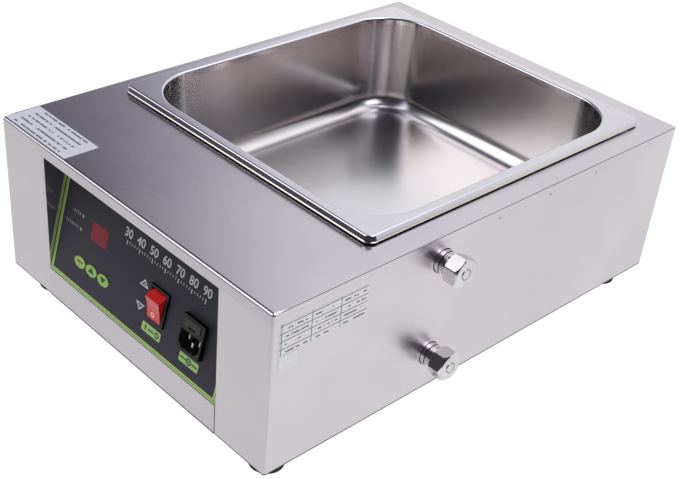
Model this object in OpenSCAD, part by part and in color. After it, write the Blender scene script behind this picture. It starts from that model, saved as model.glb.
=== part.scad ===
// Countertop chocolate melting tank: a lift-out pan hangs in a heated water bath, inside a stainless
// casing with a sloped control panel at the front and capped exhaust and drain pipes on its right.
// Millimetres, +Z up, front towards -Y. The origin is the centre of the overall footprint, on the
// surface that the feet stand on.

/* [Casing] */
// Width of the casing, left to right
casing_w = 364; // [358:1:400]
// Depth of the casing, front to back
casing_d = 495; // [490:1:530]
// Height of the casing, from its bottom edge to the top of the deck
casing_h = 153; // [150:1:170]
// Thickness of the stainless sheet
sheet_t = 1; // [0.8:0.1:1.2]
// Outside radius of the casing's upright corners
corner_r = 2.5; // [2:0.5:5]
// Height of the lip turned down along the deck's front edge
deck_lip_h = 11; // [8:1:14]
// Height of the lips tucked inside the side and back walls
tuck_h = 11; // [8:1:14]
// Length left free at each end of a tucked lip
tuck_end = 12; // [8:1:20]
// Width of the flange turned in along the bottom of the walls
floor_flange_w = 14; // [12:1:16]

/* [Control panel] */
// Distance of the panel's centre line right of the casing's centre line
panel_x = 1.5; // [0:0.5:4]
// Width of the opening that the panel fills
panel_w = 238; // [236:1:250]
// Height of the upright apron under the sloped panel
apron_h = 29; // [26:1:32]
// Lean of the panel back from upright, in degrees
panel_tilt = 14.8; // [13:0.2:16]
// Setback of the sloped panel's bottom edge from the front face
panel_setback = 0.8; // [0.8:0.1:1.2]
// Gap at each side of the fascia
fascia_gap = 0.2; // [0.1:0.1:0.4]
// Width of the flange along the fascia's top edge
fascia_flange_w = 14; // [10:1:18]
// Depth of the cheeks beside the panel
cheek_d = 38; // [36:1:42]
// Thickness of the printed overlay
overlay_t = 0.5; // [0.4:0.1:0.6]
// Margin between the overlay and the panel's edges
overlay_margin = 0.6; // [0.4:0.1:1]

/* [Display and lamps] */
// Centre of the display, right of the panel's left edge
display_x = 59; // [55.5:0.5:61.5]
// Centre of the display, up the slope from the panel's bottom edge
display_t = 60.6; // [59:0.2:63]
// Width of the display window
display_w = 25; // [23:0.5:27]
// Height of the display window
display_h = 18.2; // [16:0.2:19]
// Gap around the display window
window_gap = 0.1; // [0.1:0.05:0.2]
// Position of the lamps, right of the panel's left edge
lamp_x = 32.8; // [30.5:0.1:35.5]
// Lower lamp, up the slope
lamp_low_t = 54.2; // [53:0.2:56]
// Upper lamp, up the slope
lamp_high_t = 66.6; // [65:0.2:68]
// Diameter of a lamp
lamp_d = 3; // [2.5:0.1:4]
// Gap around a lamp
lamp_gap = 0.15; // [0.1:0.05:0.3]
// Height of a lamp's tip above the overlay
lamp_proud = 0.3; // [0.2:0.1:0.6]

/* [Control board] */
// Width of the control board
board_w = 80; // [80:1:84]
// Height of the control board, up the slope
board_h = 70; // [70:1:74]
// Centre of the control board, right of the panel's left edge
board_x = 55.5; // [54.5:0.5:56.5]
// Centre of the control board, up the slope
board_c_t = 44; // [43:0.5:45]
// Thickness of a circuit board
board_t = 1.6; // [1.2:0.2:2]
// Space between the fascia's back face and the control board
board_gap = 10; // [9:0.5:12]
// Inset of a board's screws from its edges
board_inset = 5; // [4.5:0.5:5.5]
// Diameter of a standoff
standoff_d = 6; // [5.5:0.5:7]
// Diameter of a board screw's shank
board_screw_d = 2.9; // [2.5:0.1:3]
// Length of a board screw's shank
board_screw_len = 6; // [5:0.5:7]
// Diameter of a board screw's head
board_head_d = 5.5; // [5:0.5:6]
// Height of a board screw's head
board_head_h = 2; // [1.5:0.5:2.5]
// Radial clearance around a screw's shank
screw_clear = 0.1; // [0.05:0.05:0.2]

/* [Keys] */
// Width of a key's oval cap
key_d = 16; // [15:0.5:16.5]
// Height of a key's oval cap, up the slope
key_short_d = 10; // [9.5:0.5:11]
// Distance between neighbouring keys
key_pitch = 17.5; // [17.5:0.5:18.5]
// Centre of the middle key, right of the panel's left edge
key_x = 58.2; // [56.5:0.1:59.5]
// Centre of the keys, up the slope
key_t = 26; // [25:0.5:28]
// Thickness of a key's cap
key_cap_t = 0.8; // [0.6:0.1:1]
// Travel of a key
key_travel = 0.5; // [0.3:0.1:0.6]
// Gap left under a pressed key
key_spare = 0.1; // [0.1:0.05:0.2]
// Gap between a key and the overlay around it
key_ring_gap = 0.3; // [0.2:0.05:0.4]
// Diameter of a key's stem
key_stem_d = 5; // [4:0.5:6]
// Radial clearance of a key's stem in the fascia
key_clear = 0.08; // [0.05:0.01:0.1]
// Reach of a key's stem behind the fascia's front face
key_stem_reach = 4; // [3.5:0.5:4.5]
// Diameter of the collar that keeps a key in
key_collar_d = 8; // [7.5:0.5:9]
// Thickness of that collar
key_collar_t = 0.6; // [0.5:0.1:0.8]
// Side of a key switch's square body
tact_w = 6; // [5.5:0.5:7]
// Height of a key switch's body
tact_h = 3.5; // [3:0.5:4]
// Diameter of a key switch's actuator
tact_tip_d = 3.4; // [3:0.2:4]

/* [Rocker switch] */
// Centre of the switch, left of the panel's right edge
switch_x = 89; // [87.5:0.5:90.5]
// Centre of the switch, up the slope
switch_t = 41.2; // [40.5:0.1:42]
// Width of the switch's bezel
switch_w = 25.5; // [25:0.1:27]
// Height of the switch's bezel
switch_h = 31.6; // [31.4:0.1:32.4]
// Thickness of the switch's bezel
bezel_t = 2; // [1.5:0.1:2.5]
// Corner radius of the bezels
bezel_r = 1.5; // [1:0.5:2]
// Depth of the switch's housing behind the overlay
switch_depth = 22; // [20:1:24]
// Thickness of the housing's walls
switch_wall = 1.5; // [1.4:0.1:1.7]
// Width of the rocker
rocker_w = 18.2; // [17:0.2:19]
// Turn of the rocker to each side, in degrees
rocker_tilt = 18; // [16:0.5:19]
// Half the length of the rocker's face
rocker_reach = 10.3; // [10:0.1:10.6]
// Depth of the hollow in the rocker's face
rocker_dish = 0.9; // [0.6:0.1:1.2]
// Height of the rocker face's two ridges above the pivot
rocker_face_h = 11.3; // [11:0.1:11.6]
// Height above the pivot at which the rocker's ends turn in to its keel
rocker_shoulder_h = 1.5; // [1:0.1:2]
// Depth of the pivot below the bezel's face
pivot_depth = 7.7; // [7.4:0.1:8]
// Diameter of the rocker's pivot pins
trunnion_d = 3; // [2.6:0.1:3.2]
// Length of each pivot pin
trunnion_len = 1.3; // [1.2:0.1:1.4]
// Radial running clearance of a pin
run_clear = 0.05; // [0.03:0.01:0.08]
// Gap at the rocker's sides and ends
rocker_gap = 0.3; // [0.3:0.05:0.4]
// Depth of the rocker's well below the pivot
rocker_well = 6; // [5.5:0.5:7]
// Half-width of the rocker's keel
rocker_keel_w = 4; // [3:0.5:5]
// Depth of the rocker's keel below the pivot
rocker_keel_h = 4; // [3.5:0.5:4.5]
// Width of a push-on terminal
tab_w = 4.8; // [4:0.2:5]
// Thickness of a push-on terminal
tab_t = 0.8; // [0.6:0.1:1]
// Length of a push-on terminal
tab_len = 8; // [7:0.5:9]

/* [Mains inlet] */
// Centre of the inlet, left of the panel's right edge
inlet_x = 40; // [39:0.5:41]
// Centre of the inlet, up the slope
inlet_t = 40.1; // [39.5:0.1:41]
// Width of the inlet's face
inlet_w = 28.6; // [28:0.1:29.4]
// Height of the inlet's face
inlet_h = 31; // [30.8:0.1:32]
// Height of the inlet's face above the overlay
inlet_proud = 4.5; // [4:0.1:5]
// Depth of the inlet's body behind the overlay
inlet_depth = 23; // [22.5:0.5:25]
// Step from the inlet's face in to its body
inlet_step = 0.8; // [0.6:0.1:0.9]
// Width of the socket
socket_w = 25; // [24.6:0.1:25.4]
// Height of the socket
socket_h = 15.6; // [15:0.1:15.8]
// Size of the socket's two cut corners
socket_cut = 4.5; // [4:0.1:5]
// Depth of the socket
socket_depth = 16.5; // [16:0.5:18]
// Drop of the socket's centre below the inlet's centre
socket_drop = 5.2; // [5:0.1:5.4]
// Thickness of a contact pin
pin_w = 2; // [1.8:0.1:2.2]
// Height of a contact pin
pin_h = 4; // [3.8:0.1:4.2]
// Length of a contact pin in the socket
pin_len = 10.5; // [10:0.5:11]
// Extra length of the earth pin, which makes contact first
earth_extra = 1.5; // [1:0.5:2]
// Length of a contact pin's tail behind the body
pin_tail = 5; // [4:0.5:6]
// Sideways position of the two current pins
pin_spread = 6.8; // [6.4:0.1:7]
// Rise of the current pins above the socket's centre
pin_rise = 0.8; // [0.6:0.1:1]
// Drop of the earth pin below the socket's centre
earth_drop = 3.1; // [2.8:0.1:3.4]
// Gap around a contact pin in the body's back wall
pin_gap = 0.05; // [0.05:0.01:0.1]
// Width of the fuse drawer
drawer_w = 20; // [19.5:0.1:20.4]
// Height of the fuse drawer
drawer_h = 7.4; // [7.2:0.1:7.6]
// Depth of the fuse drawer
drawer_depth = 24; // [23.5:0.5:25]
// Rise of the drawer's centre above the inlet's centre
drawer_rise = 10; // [9.9:0.1:10.1]
// Gap around the fuse drawer
drawer_gap = 0.2; // [0.15:0.05:0.25]
// Height of the drawer's front above the inlet's face
drawer_proud = 0.5; // [0.4:0.1:0.8]
// Width of the finger notch in the drawer's front
notch_w = 8; // [6:0.5:10]
// Depth of the finger notch
notch_depth = 1.2; // [1:0.1:1.5]
// Diameter of the fuse
fuse_d = 5.2; // [5:0.1:5.2]
// Length of the fuse
fuse_len = 20; // [19:0.5:20.5]
// Gap around the fuse in its pocket
fuse_gap = 0.2; // [0.15:0.05:0.3]

/* [Pan] */
// Deck left of the pan's rim
deck_left = 16.5; // [14:0.5:20]
// Deck right of the pan's rim
deck_right = 22.5; // [20:0.5:26]
// Deck in front of the pan's rim, over the control bay
deck_front = 114.5; // [112:0.5:118]
// Deck behind the pan's rim
deck_back = 26.5; // [24:0.5:30]
// Height of the water under the pan, from the tank's floor
bath_h = 37; // [35:0.5:41]
// Width of the pan's rim
pan_rim_w = 12; // [11:0.5:14]
// Corner radius of the pan's mouth
pan_corner_r = 52; // [48:1:53]
// Corner radius of the rim's outline
rim_corner_r = 9; // [6:0.5:12]
// Height of the rim above the deck
rim_h = 7; // [6:0.5:8]
// Thickness of the pan's sheet
pan_t = 0.8; // [0.6:0.1:1]
// Inward lean of the pan's walls from mouth to floor
pan_draft = 5; // [3:0.5:7]
// Radius between the pan's walls and floor
pan_floor_r = 18; // [14:1:20]

/* [Water tank] */
// Gap between the pan's wall and the edge of the deck's cut-out
deck_hole_gap = 3.2; // [2.5:0.1:4]
// Setback of the tank's wall from the edge of the deck's cut-out
tank_margin = 2; // [1:0.5:2.5]
// Height of the tank's underside above the casing's bottom edge
tank_z = 22; // [20:0.5:23]
// Width of the flange that joins the tank to the deck
tank_flange_w = 8; // [6:0.5:9]

/* [Heater] */
// Diameter of the heating element's tube
heater_d = 8; // [7:0.5:9]
// Height of the element's axis above the tank's floor
heater_rise = 18; // [16:0.5:20]
// Distance between neighbouring runs of the element
heater_pitch = 56; // [52:1:57]
// Distance of the rear bends' centres from the tank's back wall
heater_back = 66; // [56:1:76]
// Distance of the front bend's centre from the tank's front wall
heater_front = 76; // [74:1:86]
// Reach of the element's tube in front of the tank
heater_tail = 16; // [15:1:18]
// Diameter of a heater terminal
terminal_d = 4; // [3.5:0.5:5]
// Length of a heater terminal
terminal_len = 10; // [8:1:11]
// Distance of the front support behind the front bend's centre
support_front = 35; // [25:1:45]
// Distance of the back support in front of the rear bends' centres
support_back = 45; // [35:1:55]
// Reach of a support beyond the outer runs
support_over = 12; // [8:1:14]
// Clearance between the element and its gland or support
heater_clear = 0.1; // [0.1:0.05:0.2]

/* [Probe and cut-out] */
// Diameter of the temperature probe
probe_d = 6; // [5:0.5:7]
// Height of the probe's axis above the tank's floor
probe_rise = 18; // [16:0.5:20]
// Reach of the probe into the tank
probe_reach = 30; // [24:1:33]
// Reach of the probe in front of the tank
probe_tail = 18; // [16:1:20]
// Wall of a gland's shank
gland_wall = 2.5; // [2:0.1:3]
// Width of a gland's flange beyond its shank
gland_flange_w = 3.5; // [3:0.1:4]
// Thickness of a gland's flange
gland_flange_t = 2; // [1.5:0.1:2.5]
// Length of a gland's shank in front of the tank
gland_len = 12; // [11:0.5:14]
// Least flat wall between an outer gland's flange and the tank's corner
gland_room = 3; // [2:0.5:4]
// Clearance around a gland's shank
gland_clear = 0.1; // [0.05:0.05:0.2]
// Thickness of a gland's sealing washer
washer_t = 1.5; // [1:0.1:2]
// Thickness of a gland's nut
gland_nut_t = 6; // [5:0.5:7]
// Distance of the cut-out right of the pan's centre line
cutout_x = 55; // [50:1:60]
// Height of the cut-out above the tank's floor
cutout_rise = 50; // [45:1:55]
// Diameter of the cut-out's sensing cap
cutout_cap_d = 19; // [18:0.5:20]
// Thickness of the cut-out's sensing cap
cutout_cap_t = 4; // [3.5:0.5:5]
// Diameter of the cut-out's body
cutout_body_d = 16; // [15:0.5:17]
// Length of the cut-out's body
cutout_body_len = 9; // [8:0.5:10]
// Width of the cut-out's bracket
bracket_w = 44; // [40:1:48]
// Height of the cut-out's bracket
bracket_h = 24; // [22:1:28]

/* [Pipes and caps] */
// Distance of the pipes behind the casing's front
pipe_y = 177.5; // [173.5:0.5:181.5]
// Drop of the exhaust pipe's axis below the deck
exhaust_drop = 24.3; // [24:0.1:27]
// Height of the drain pipe's axis above the casing's bottom edge
drain_z = 36.2; // [35:0.1:38]
// Diameter of a pipe
pipe_d = 21; // [20:0.1:21.4]
// Bore of a pipe
pipe_bore = 15; // [13:0.5:15.5]
// Reach of a pipe beyond the casing's right side
pipe_reach = 20; // [18:0.5:21]
// Gap between a pipe and the hole in the casing
pipe_gap = 0.6; // [0.4:0.1:1]
// Pitch of the pipe thread
thread_pitch = 1.814; // [1.5:0.001:2]
// Depth of the pipe thread
thread_depth = 1; // [0.8:0.1:1.1]
// Part of the pitch that the thread's groove opens over
thread_open = 0.8; // [0.6:0.05:0.9]
// Length of the thread
thread_len = 12; // [11:0.5:14]
// Width of a cap across its flats
cap_af = 24; // [23.5:0.1:27]
// Distance of a cap's open end from the casing's right side
cap_from = 11; // [10:0.5:12]
// Thickness of a cap's end
cap_end_t = 2.6; // [2:0.1:3]
// Height of the round boss on a cap's end
cap_boss_t = 0.4; // [0.3:0.1:0.6]
// Diameter of that boss
cap_boss_d = 10; // [9:0.5:12]
// Chamfer of a cap's corners
cap_chamfer = 1.6; // [1:0.1:2]
// Turn of the exhaust cap's hexagon, in degrees
exhaust_turn = 35; // [0:1:60]
// Turn of the drain cap's hexagon, in degrees
drain_turn = 0; // [0:1:60]
// Thickness of a cap's seal
seal_t = 2; // [1.5:0.1:2.4]
// Gap between a seal and its cap
seal_gap = 0.2; // [0.15:0.05:0.3]

/* [Power parts] */
// Centre of the power board, right of the casing's centre line
power_x = -50; // [-55:1:-45]
// Distance of the power parts' centre line behind the front face
power_from_front = 70; // [69:1:71]
// Width of the power board
power_w = 100; // [96:1:104]
// Depth of the power board, front to back
power_d = 54; // [50:1:56]
// Distance of the transformer and the relay from the power board's centre
power_part_x = 20; // [19:0.5:22]
// Height of the power board's standoffs
power_standoff_h = 8; // [6:0.5:10]
// Width of the transformer
transformer_w = 34; // [30:1:36]
// Depth of the transformer
transformer_d = 30; // [28:1:34]
// Height of the transformer
transformer_h = 20; // [18:1:22]
// Width of the relay
relay_w = 19; // [17:0.5:20]
// Depth of the relay
relay_d = 16; // [15:0.5:18]
// Height of the relay
relay_h = 16; // [15:0.5:18]
// Centre of the terminal block, right of the casing's centre line
block_x = 62; // [58:1:66]
// Width of the terminal block
block_w = 46; // [42:1:48]
// Depth of the terminal block
block_d = 20; // [18:1:22]
// Height of the terminal block
block_h = 18; // [16:1:20]
// Diameter of a terminal block's screw well
block_well_d = 5; // [4:0.5:5.5]
// Depth of a terminal block's screw well
block_well_h = 6; // [5:0.5:8]
// Ways in the terminal block
block_ways = 5; // [4:1:6]
// Position of the earth stud, right of the casing's centre line
earth_x = 125; // [120:1:130]
// Diameter of the earth stud
earth_d = 5; // [4:0.5:6]
// Height of the earth stud
earth_h = 16; // [14:1:18]
// Diameter of a wire
wire_d = 2.6; // [2:0.1:2.8]
// Gap at a wire's end
wire_gap = 0.2; // [0.1:0.05:0.4]

/* [Base and feet] */
// Thickness of the base plate
base_t = 1; // [0.8:0.1:1.2]
// Gap around the base plate
base_gap = 0.5; // [0.3:0.1:0.8]
// Length of a vent slot
vent_len = 60; // [50:1:70]
// Width of a vent slot
vent_w = 5; // [4:0.5:6]
// Distance between vent slots
vent_pitch = 12; // [10:0.5:13]
// Vent slots in each group
vent_count = 6; // [4:1:7]
// Distance of each vent group from the casing's centre line
vent_x = 70; // [64:1:76]
// Diameter of a base screw's shank
base_screw_d = 3.8; // [3:0.1:4]
// Length of a base screw's shank
base_screw_len = 7; // [6:0.5:8]
// Diameter of a base screw's head
base_head_d = 7; // [6:0.5:8]
// Height of a base screw's head
base_head_h = 2.2; // [1.8:0.1:2.6]
// Distance of the outer base screws from the casing's corners
base_screw_from = 60; // [55:1:70]
// Diameter of a foot
foot_d = 30; // [28:0.5:32]
// Height of a foot
foot_h = 20; // [18:0.5:22]
// Distance of a foot's axis from the casing's faces
foot_inset = 27; // [25:0.5:29]
// Chamfer around a foot's lower edge
foot_chamfer = 1.5; // [1:0.1:2.5]
// Diameter of a foot screw's shank
foot_screw_d = 4.8; // [4:0.1:5]
// Diameter of a foot screw's head
foot_head_d = 9; // [8:0.5:10]
// Height of a foot screw's head
foot_head_h = 3; // [2.5:0.1:3.5]
// Diameter of the well under a foot
foot_well_d = 12; // [11:0.5:14]
// Depth of the well under a foot
foot_well_h = 11; // [9:0.5:13]
// Thickness of a foot's nut
foot_nut_t = 4; // [3.5:0.1:4.5]

/* [Labels] */
// Thickness of a label
label_t = 0.2; // [0.1:0.05:0.3]
// Width of the deck label, left to right
deck_label_w = 93; // [80:1:100]
// Depth of the deck label, front to back
deck_label_d = 34; // [30:1:40]
// Distance of the deck label from the left edge
deck_label_left = 2; // [1:0.5:6]
// Distance of the deck label from the front edge
deck_label_front = 2.5; // [1:0.5:6]
// Length of the side label, front to back
side_label_d = 87; // [80:1:95]
// Height of the side label
side_label_h = 28; // [24:1:32]
// Distance of the side label from the front edge
side_label_front = 7.5; // [5:0.5:12]
// Distance of the side label below the deck
side_label_drop = 12; // [11:0.5:16]
// Length of the small side label
small_label_d = 18; // [15:1:22]
// Height of the small side label
small_label_h = 14; // [10:1:16]
// Gap between the two side labels
label_gap = 1; // [0.5:0.5:3]

/* [Hidden] */
$fn = 64;
over = 1;
corner_fn = 48;
hex_fn = 6;
sweep_fn = 8;
bend_steps = 3;
sides = [-1, 1];

steel = [0.76, 0.75, 0.77];
bright_steel = [0.82, 0.82, 0.83];
pan_steel = [0.68, 0.67, 0.66];
charcoal = [0.16, 0.16, 0.19];
lime = [0.55, 0.72, 0.33];
red = [0.72, 0.08, 0.09];
dark_red = [0.48, 0.12, 0.16];
black = [0.05, 0.05, 0.06];
dark_grey = [0.22, 0.22, 0.23];
white = [0.93, 0.93, 0.92];
green_board = [0.10, 0.32, 0.18];
brass = [0.78, 0.62, 0.30];
silicone_red = [0.62, 0.16, 0.10];
glass_clear = [0.80, 0.88, 0.90];
brown = [0.35, 0.20, 0.10];
blue = [0.12, 0.25, 0.60];
earth_green = [0.40, 0.60, 0.15];

front_y = -casing_d / 2;
right_x = casing_w / 2;
left_x = -casing_w / 2;
wall_top = casing_h - sheet_t;
lip_z = casing_h - deck_lip_h;
flange_z = base_t;
inner_w = casing_w - 2 * sheet_t;
inner_d = casing_d - 2 * sheet_t;

panel_left = panel_x - panel_w / 2;
panel_right = panel_x + panel_w / 2;
display_c = panel_left + display_x;
lamp_c = panel_left + lamp_x;
board_c = panel_left + board_x;
key_c = panel_left + key_x;
switch_c = panel_right - switch_x;
inlet_c = panel_right - inlet_x;
fascia_w = panel_w - 2 * fascia_gap;
panel_y = front_y + panel_setback;
panel_run = (wall_top - apron_h) / cos(panel_tilt) + over;
panel_back = panel_y + (wall_top - apron_h) * tan(panel_tilt);
overlay_w = fascia_w - 2 * overlay_margin;
overlay_run = (lip_z - apron_h) / cos(panel_tilt);
fascia_back = -sheet_t;
board_front = fascia_back - board_gap;
board_back = board_front - board_t;

key_under = key_travel + key_spare;
key_xs = [for (k = [-1 : 1]) key_c + k * key_pitch];
stem_hole_d = key_stem_d + 2 * key_clear;

bezel_face = overlay_t + bezel_t;
pivot_n = bezel_face - pivot_depth;
rocker_well_w = rocker_w + 2 * rocker_gap;
rocker_swing = rocker_reach * cos(rocker_tilt) + rocker_face_h * sin(rocker_tilt);
rocker_well_h = 2 * (rocker_swing + rocker_gap);
rocker_shoulder = rocker_reach + (rocker_face_h - rocker_shoulder_h) * tan(rocker_tilt);
rocker_dish_r = (pow(rocker_reach, 2) + pow(rocker_dish, 2)) / (2 * rocker_dish);
switch_body_w = rocker_well_w + 2 * switch_wall;
switch_body_h = rocker_well_h + 2 * switch_wall;
switch_tab_x = rocker_w / 4;
switch_tab_t = rocker_reach / 2;

inlet_face = overlay_t + inlet_proud;
inlet_body_w = inlet_w - 2 * inlet_step;
inlet_body_h = inlet_h - 2 * inlet_step;
inlet_back = overlay_t - inlet_depth;
socket_floor = inlet_face - socket_depth;
pin_back = inlet_back - pin_tail;
socket_t = inlet_t - socket_drop;
pin_spots = [
  [inlet_c - pin_spread, socket_t + pin_rise],
  [inlet_c + pin_spread, socket_t + pin_rise],
  [inlet_c, socket_t - earth_drop]
];
pin_lens = [pin_len, pin_len, pin_len + earth_extra];
drawer_t = inlet_t + drawer_rise;
drawer_face = inlet_face + drawer_proud;
drawer_back = drawer_face - drawer_depth;
fuse_pocket_h = fuse_d + fuse_gap;
fuse_t = drawer_t + drawer_h / 2 - fuse_pocket_h + fuse_d / 2 + fuse_gap / 2;
fuse_back = drawer_back + (drawer_depth - fuse_len) / 2 - notch_depth / 2;

tank_floor = tank_z + sheet_t;
rim_top = casing_h + rim_h;
pan_bottom = tank_floor + bath_h;
pan_depth = rim_top - pan_bottom;
pan_w = casing_w - deck_left - deck_right;
pan_d = casing_d - deck_front - deck_back;
pan_x = (deck_left - deck_right) / 2;
pan_y = (deck_front - deck_back) / 2;
mouth_w = pan_w - 2 * pan_rim_w;
mouth_d = pan_d - 2 * pan_rim_w;
hole_w = mouth_w + 2 * pan_t + 2 * deck_hole_gap;
hole_d = mouth_d + 2 * pan_t + 2 * deck_hole_gap;
hole_r = pan_corner_r + pan_t + deck_hole_gap;
tank_w = hole_w + 2 * tank_margin;
tank_d = hole_d + 2 * tank_margin;
tank_front = pan_y - tank_d / 2 - sheet_t;
tank_right = pan_x + tank_w / 2 + sheet_t;

heater_z = tank_floor + heater_rise;
heater_r = heater_pitch / 2;
heater_runs = [for (k = [-1.5 : 1 : 1.5]) k * heater_pitch];
heater_front_y = pan_y - tank_d / 2 + heater_front;
heater_back_y = pan_y + tank_d / 2 - heater_back;
support_ys = [heater_front_y + support_front, heater_back_y - support_back];
heater_xs = [for (k = sides) pan_x + k * 3 * heater_r];
heater_end = tank_front - heater_tail;
terminal_end = heater_end - terminal_len;
heater_shank_d = heater_d + 2 * heater_clear + 2 * gland_wall;
gland_edge = 3 * heater_r + heater_shank_d / 2 + gland_flange_w;
tank_r = min(hole_r + tank_margin, tank_w / 2 - gland_edge - gland_room);
probe_z = tank_floor + probe_rise;
probe_shank_d = probe_d + 2 * heater_clear + 2 * gland_wall;
cutout_z = tank_floor + cutout_rise;

exhaust_z = casing_h - exhaust_drop;
pipe_line_y = front_y + pipe_y;
pipe_end = right_x + pipe_reach;
cap_start = right_x + cap_from;
cap_floor = pipe_end + seal_t;
cap_end = cap_floor + cap_end_t;
overall_right = cap_end + cap_boss_t;
cap_bore_d = pipe_d + 2 * run_clear;
groove_count = floor(thread_len / thread_pitch);
seal_d = cap_bore_d - 2 * seal_gap;

power_y = front_y + power_from_front;
power_top = base_t + power_standoff_h + board_t;
foot_x = casing_w / 2 - foot_inset;
foot_y = casing_d / 2 - foot_inset;
base_screw_x = inner_w / 2 - floor_flange_w / 2;
base_screw_y = casing_d / 2 - base_screw_from;
base_spots = [for (i = sides) for (j = [-1 : 1]) [i * base_screw_x, j * base_screw_y]];
foot_spots = [for (i = sides) for (j = sides) [i * foot_x, j * foot_y]];

loom_rise = 14;
loom_z = heater_z + loom_rise;
wire_drop = 4;
wire_bend = 2.5;
loom_step = 3.5;

// Shifts the casing's own frame to the part's frame: centred on the overall width, feet on zero.
module place() {
  translate([-(overall_right + left_x) / 2, 0, foot_h]) children();
}

// Frame of the sloped panel: X stays, Y runs up the slope, Z is the outward normal.
module on_panel() {
  translate([0, panel_y, apron_h]) rotate([90 - panel_tilt, 0, 0]) children();
}

// Point of the sloped panel in the casing's frame.
function panel_point(x, t, n) = [
  x,
  panel_y + t * sin(panel_tilt) - n * cos(panel_tilt),
  apron_h + t * cos(panel_tilt) + n * sin(panel_tilt)
];

// Rectangle with round corners, centred.
module rounded_rect(w, d, r) {
  square([w - 2 * r, d], center = true);
  square([w, d - 2 * r], center = true);
  for (i = sides) {
    for (j = sides) {
      translate([i * (w / 2 - r), j * (d / 2 - r)]) circle(r = r);
    }
  }
}

// Plate with round corners, standing on z = 0.
module rounded_plate(w, d, r, t) {
  linear_extrude(t) rounded_rect(w, d, r);
}

// Block centred on X and Y, from one height to another.
module block(w, d, from, to) {
  translate([-w / 2, -d / 2, from]) cube([w, d, to - from]);
}

// Round bar along +X from the origin.
module bar_x(d, len) {
  rotate([0, 90, 0]) cylinder(d = d, h = len);
}

// Round bar along +Y from the origin.
module bar_y(d, len) {
  rotate([-90, 0, 0]) cylinder(d = d, h = len);
}

// Sheet ring of the casing's plan.
module wall_ring(h) {
  linear_extrude(h) difference() {
    rounded_rect(casing_w, casing_d, corner_r);
    rounded_rect(inner_w, inner_d, corner_r - sheet_t);
  }
}

// Strip of the casing's front that the deck's lip takes.
module lip_zone(h) {
  translate([left_x - over, front_y - over, lip_z]) cube([casing_w + 2 * over, corner_r + over, h]);
}

// Tapered tub with a rounded foot, mouth upwards at z = h.
module tub(w, d, r, h, draft, floor_r) {
  hull() {
    for (i = sides) {
      for (j = sides) {
        translate([i * (w / 2 - r), j * (d / 2 - r), 0]) {
          translate([0, 0, h - sheet_t]) cylinder(r = r, h = sheet_t, $fn = corner_fn);
          translate([0, 0, floor_r]) rotate_extrude($fn = corner_fn)
            translate([r - draft - floor_r, 0]) circle(r = floor_r, $fn = corner_fn);
        }
      }
    }
  }
}

// Hexagonal nut along -Y with a round hole.
module nut_y(hole_d, af, t) {
  rotate([90, 0, 0]) difference() {
    cylinder(d = af / cos(30), h = t, $fn = hex_fn);
    translate([0, 0, -over]) cylinder(d = hole_d, h = t + 2 * over);
  }
}

// Gland in the tank's front wall: flange inside, shank to the front.
module gland_y(tube_d, shank_d) {
  difference() {
    union() {
      translate([0, -gland_len, 0]) bar_y(shank_d, gland_len + sheet_t + gland_flange_t);
      translate([0, sheet_t, 0]) bar_y(shank_d + 2 * gland_flange_w, gland_flange_t);
    }
    translate([0, -gland_len - over, 0])
      bar_y(tube_d + 2 * heater_clear, gland_len + sheet_t + gland_flange_t + 2 * over);
  }
}

// Pan-head screw, head below z = 0 and shank above it.
module screw(d, len, head_d, head_h) {
  cylinder(d = d, h = len);
  translate([0, 0, -head_h]) cylinder(d = head_d, h = head_h);
}

// Unit vector and rounded route of a wire.
function unit(v) = v / norm(v);
function bend(a, b, c) = [
  for (i = [0 : bend_steps])
    let (s = i / bend_steps) (1 - s) * (1 - s) * a + 2 * s * (1 - s) * b + s * s * c
];
function route(p) = concat(
  [p[0]],
  [
    for (i = [1 : len(p) - 2])
      each bend(p[i] + wire_bend * unit(p[i - 1] - p[i]), p[i], p[i] + wire_bend * unit(p[i + 1] - p[i]))
  ],
  [p[len(p) - 1]]
);
sweep_ref = unit([0.31, 0.47, 0.83]);

// Wire swept along a rounded route.
module wire(points) {
  path = route(points);
  last = len(path) - 1;
  rings = [
    for (i = [0 : last])
      let (
        t = unit(path[min(i + 1, last)] - path[max(i - 1, 0)]),
        u = unit(cross(t, sweep_ref)),
        v = cross(t, u)
      )
      for (k = [0 : sweep_fn - 1])
        path[i] + wire_d / 2 * (cos(360 * k / sweep_fn) * u + sin(360 * k / sweep_fn) * v)
  ];
  walls = [
    for (i = [0 : last - 1])
      for (k = [0 : sweep_fn - 1])
        let (a = i * sweep_fn + k, b = i * sweep_fn + (k + 1) % sweep_fn)
        each [[a, a + sweep_fn, b + sweep_fn], [a, b + sweep_fn, b]]
  ];
  ends = [
    [for (k = [0 : sweep_fn - 1]) k],
    [for (k = [sweep_fn - 1 : -1 : 0]) last * sweep_fn + k]
  ];
  polyhedron(points = rings, faces = concat(walls, ends));
}

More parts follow.
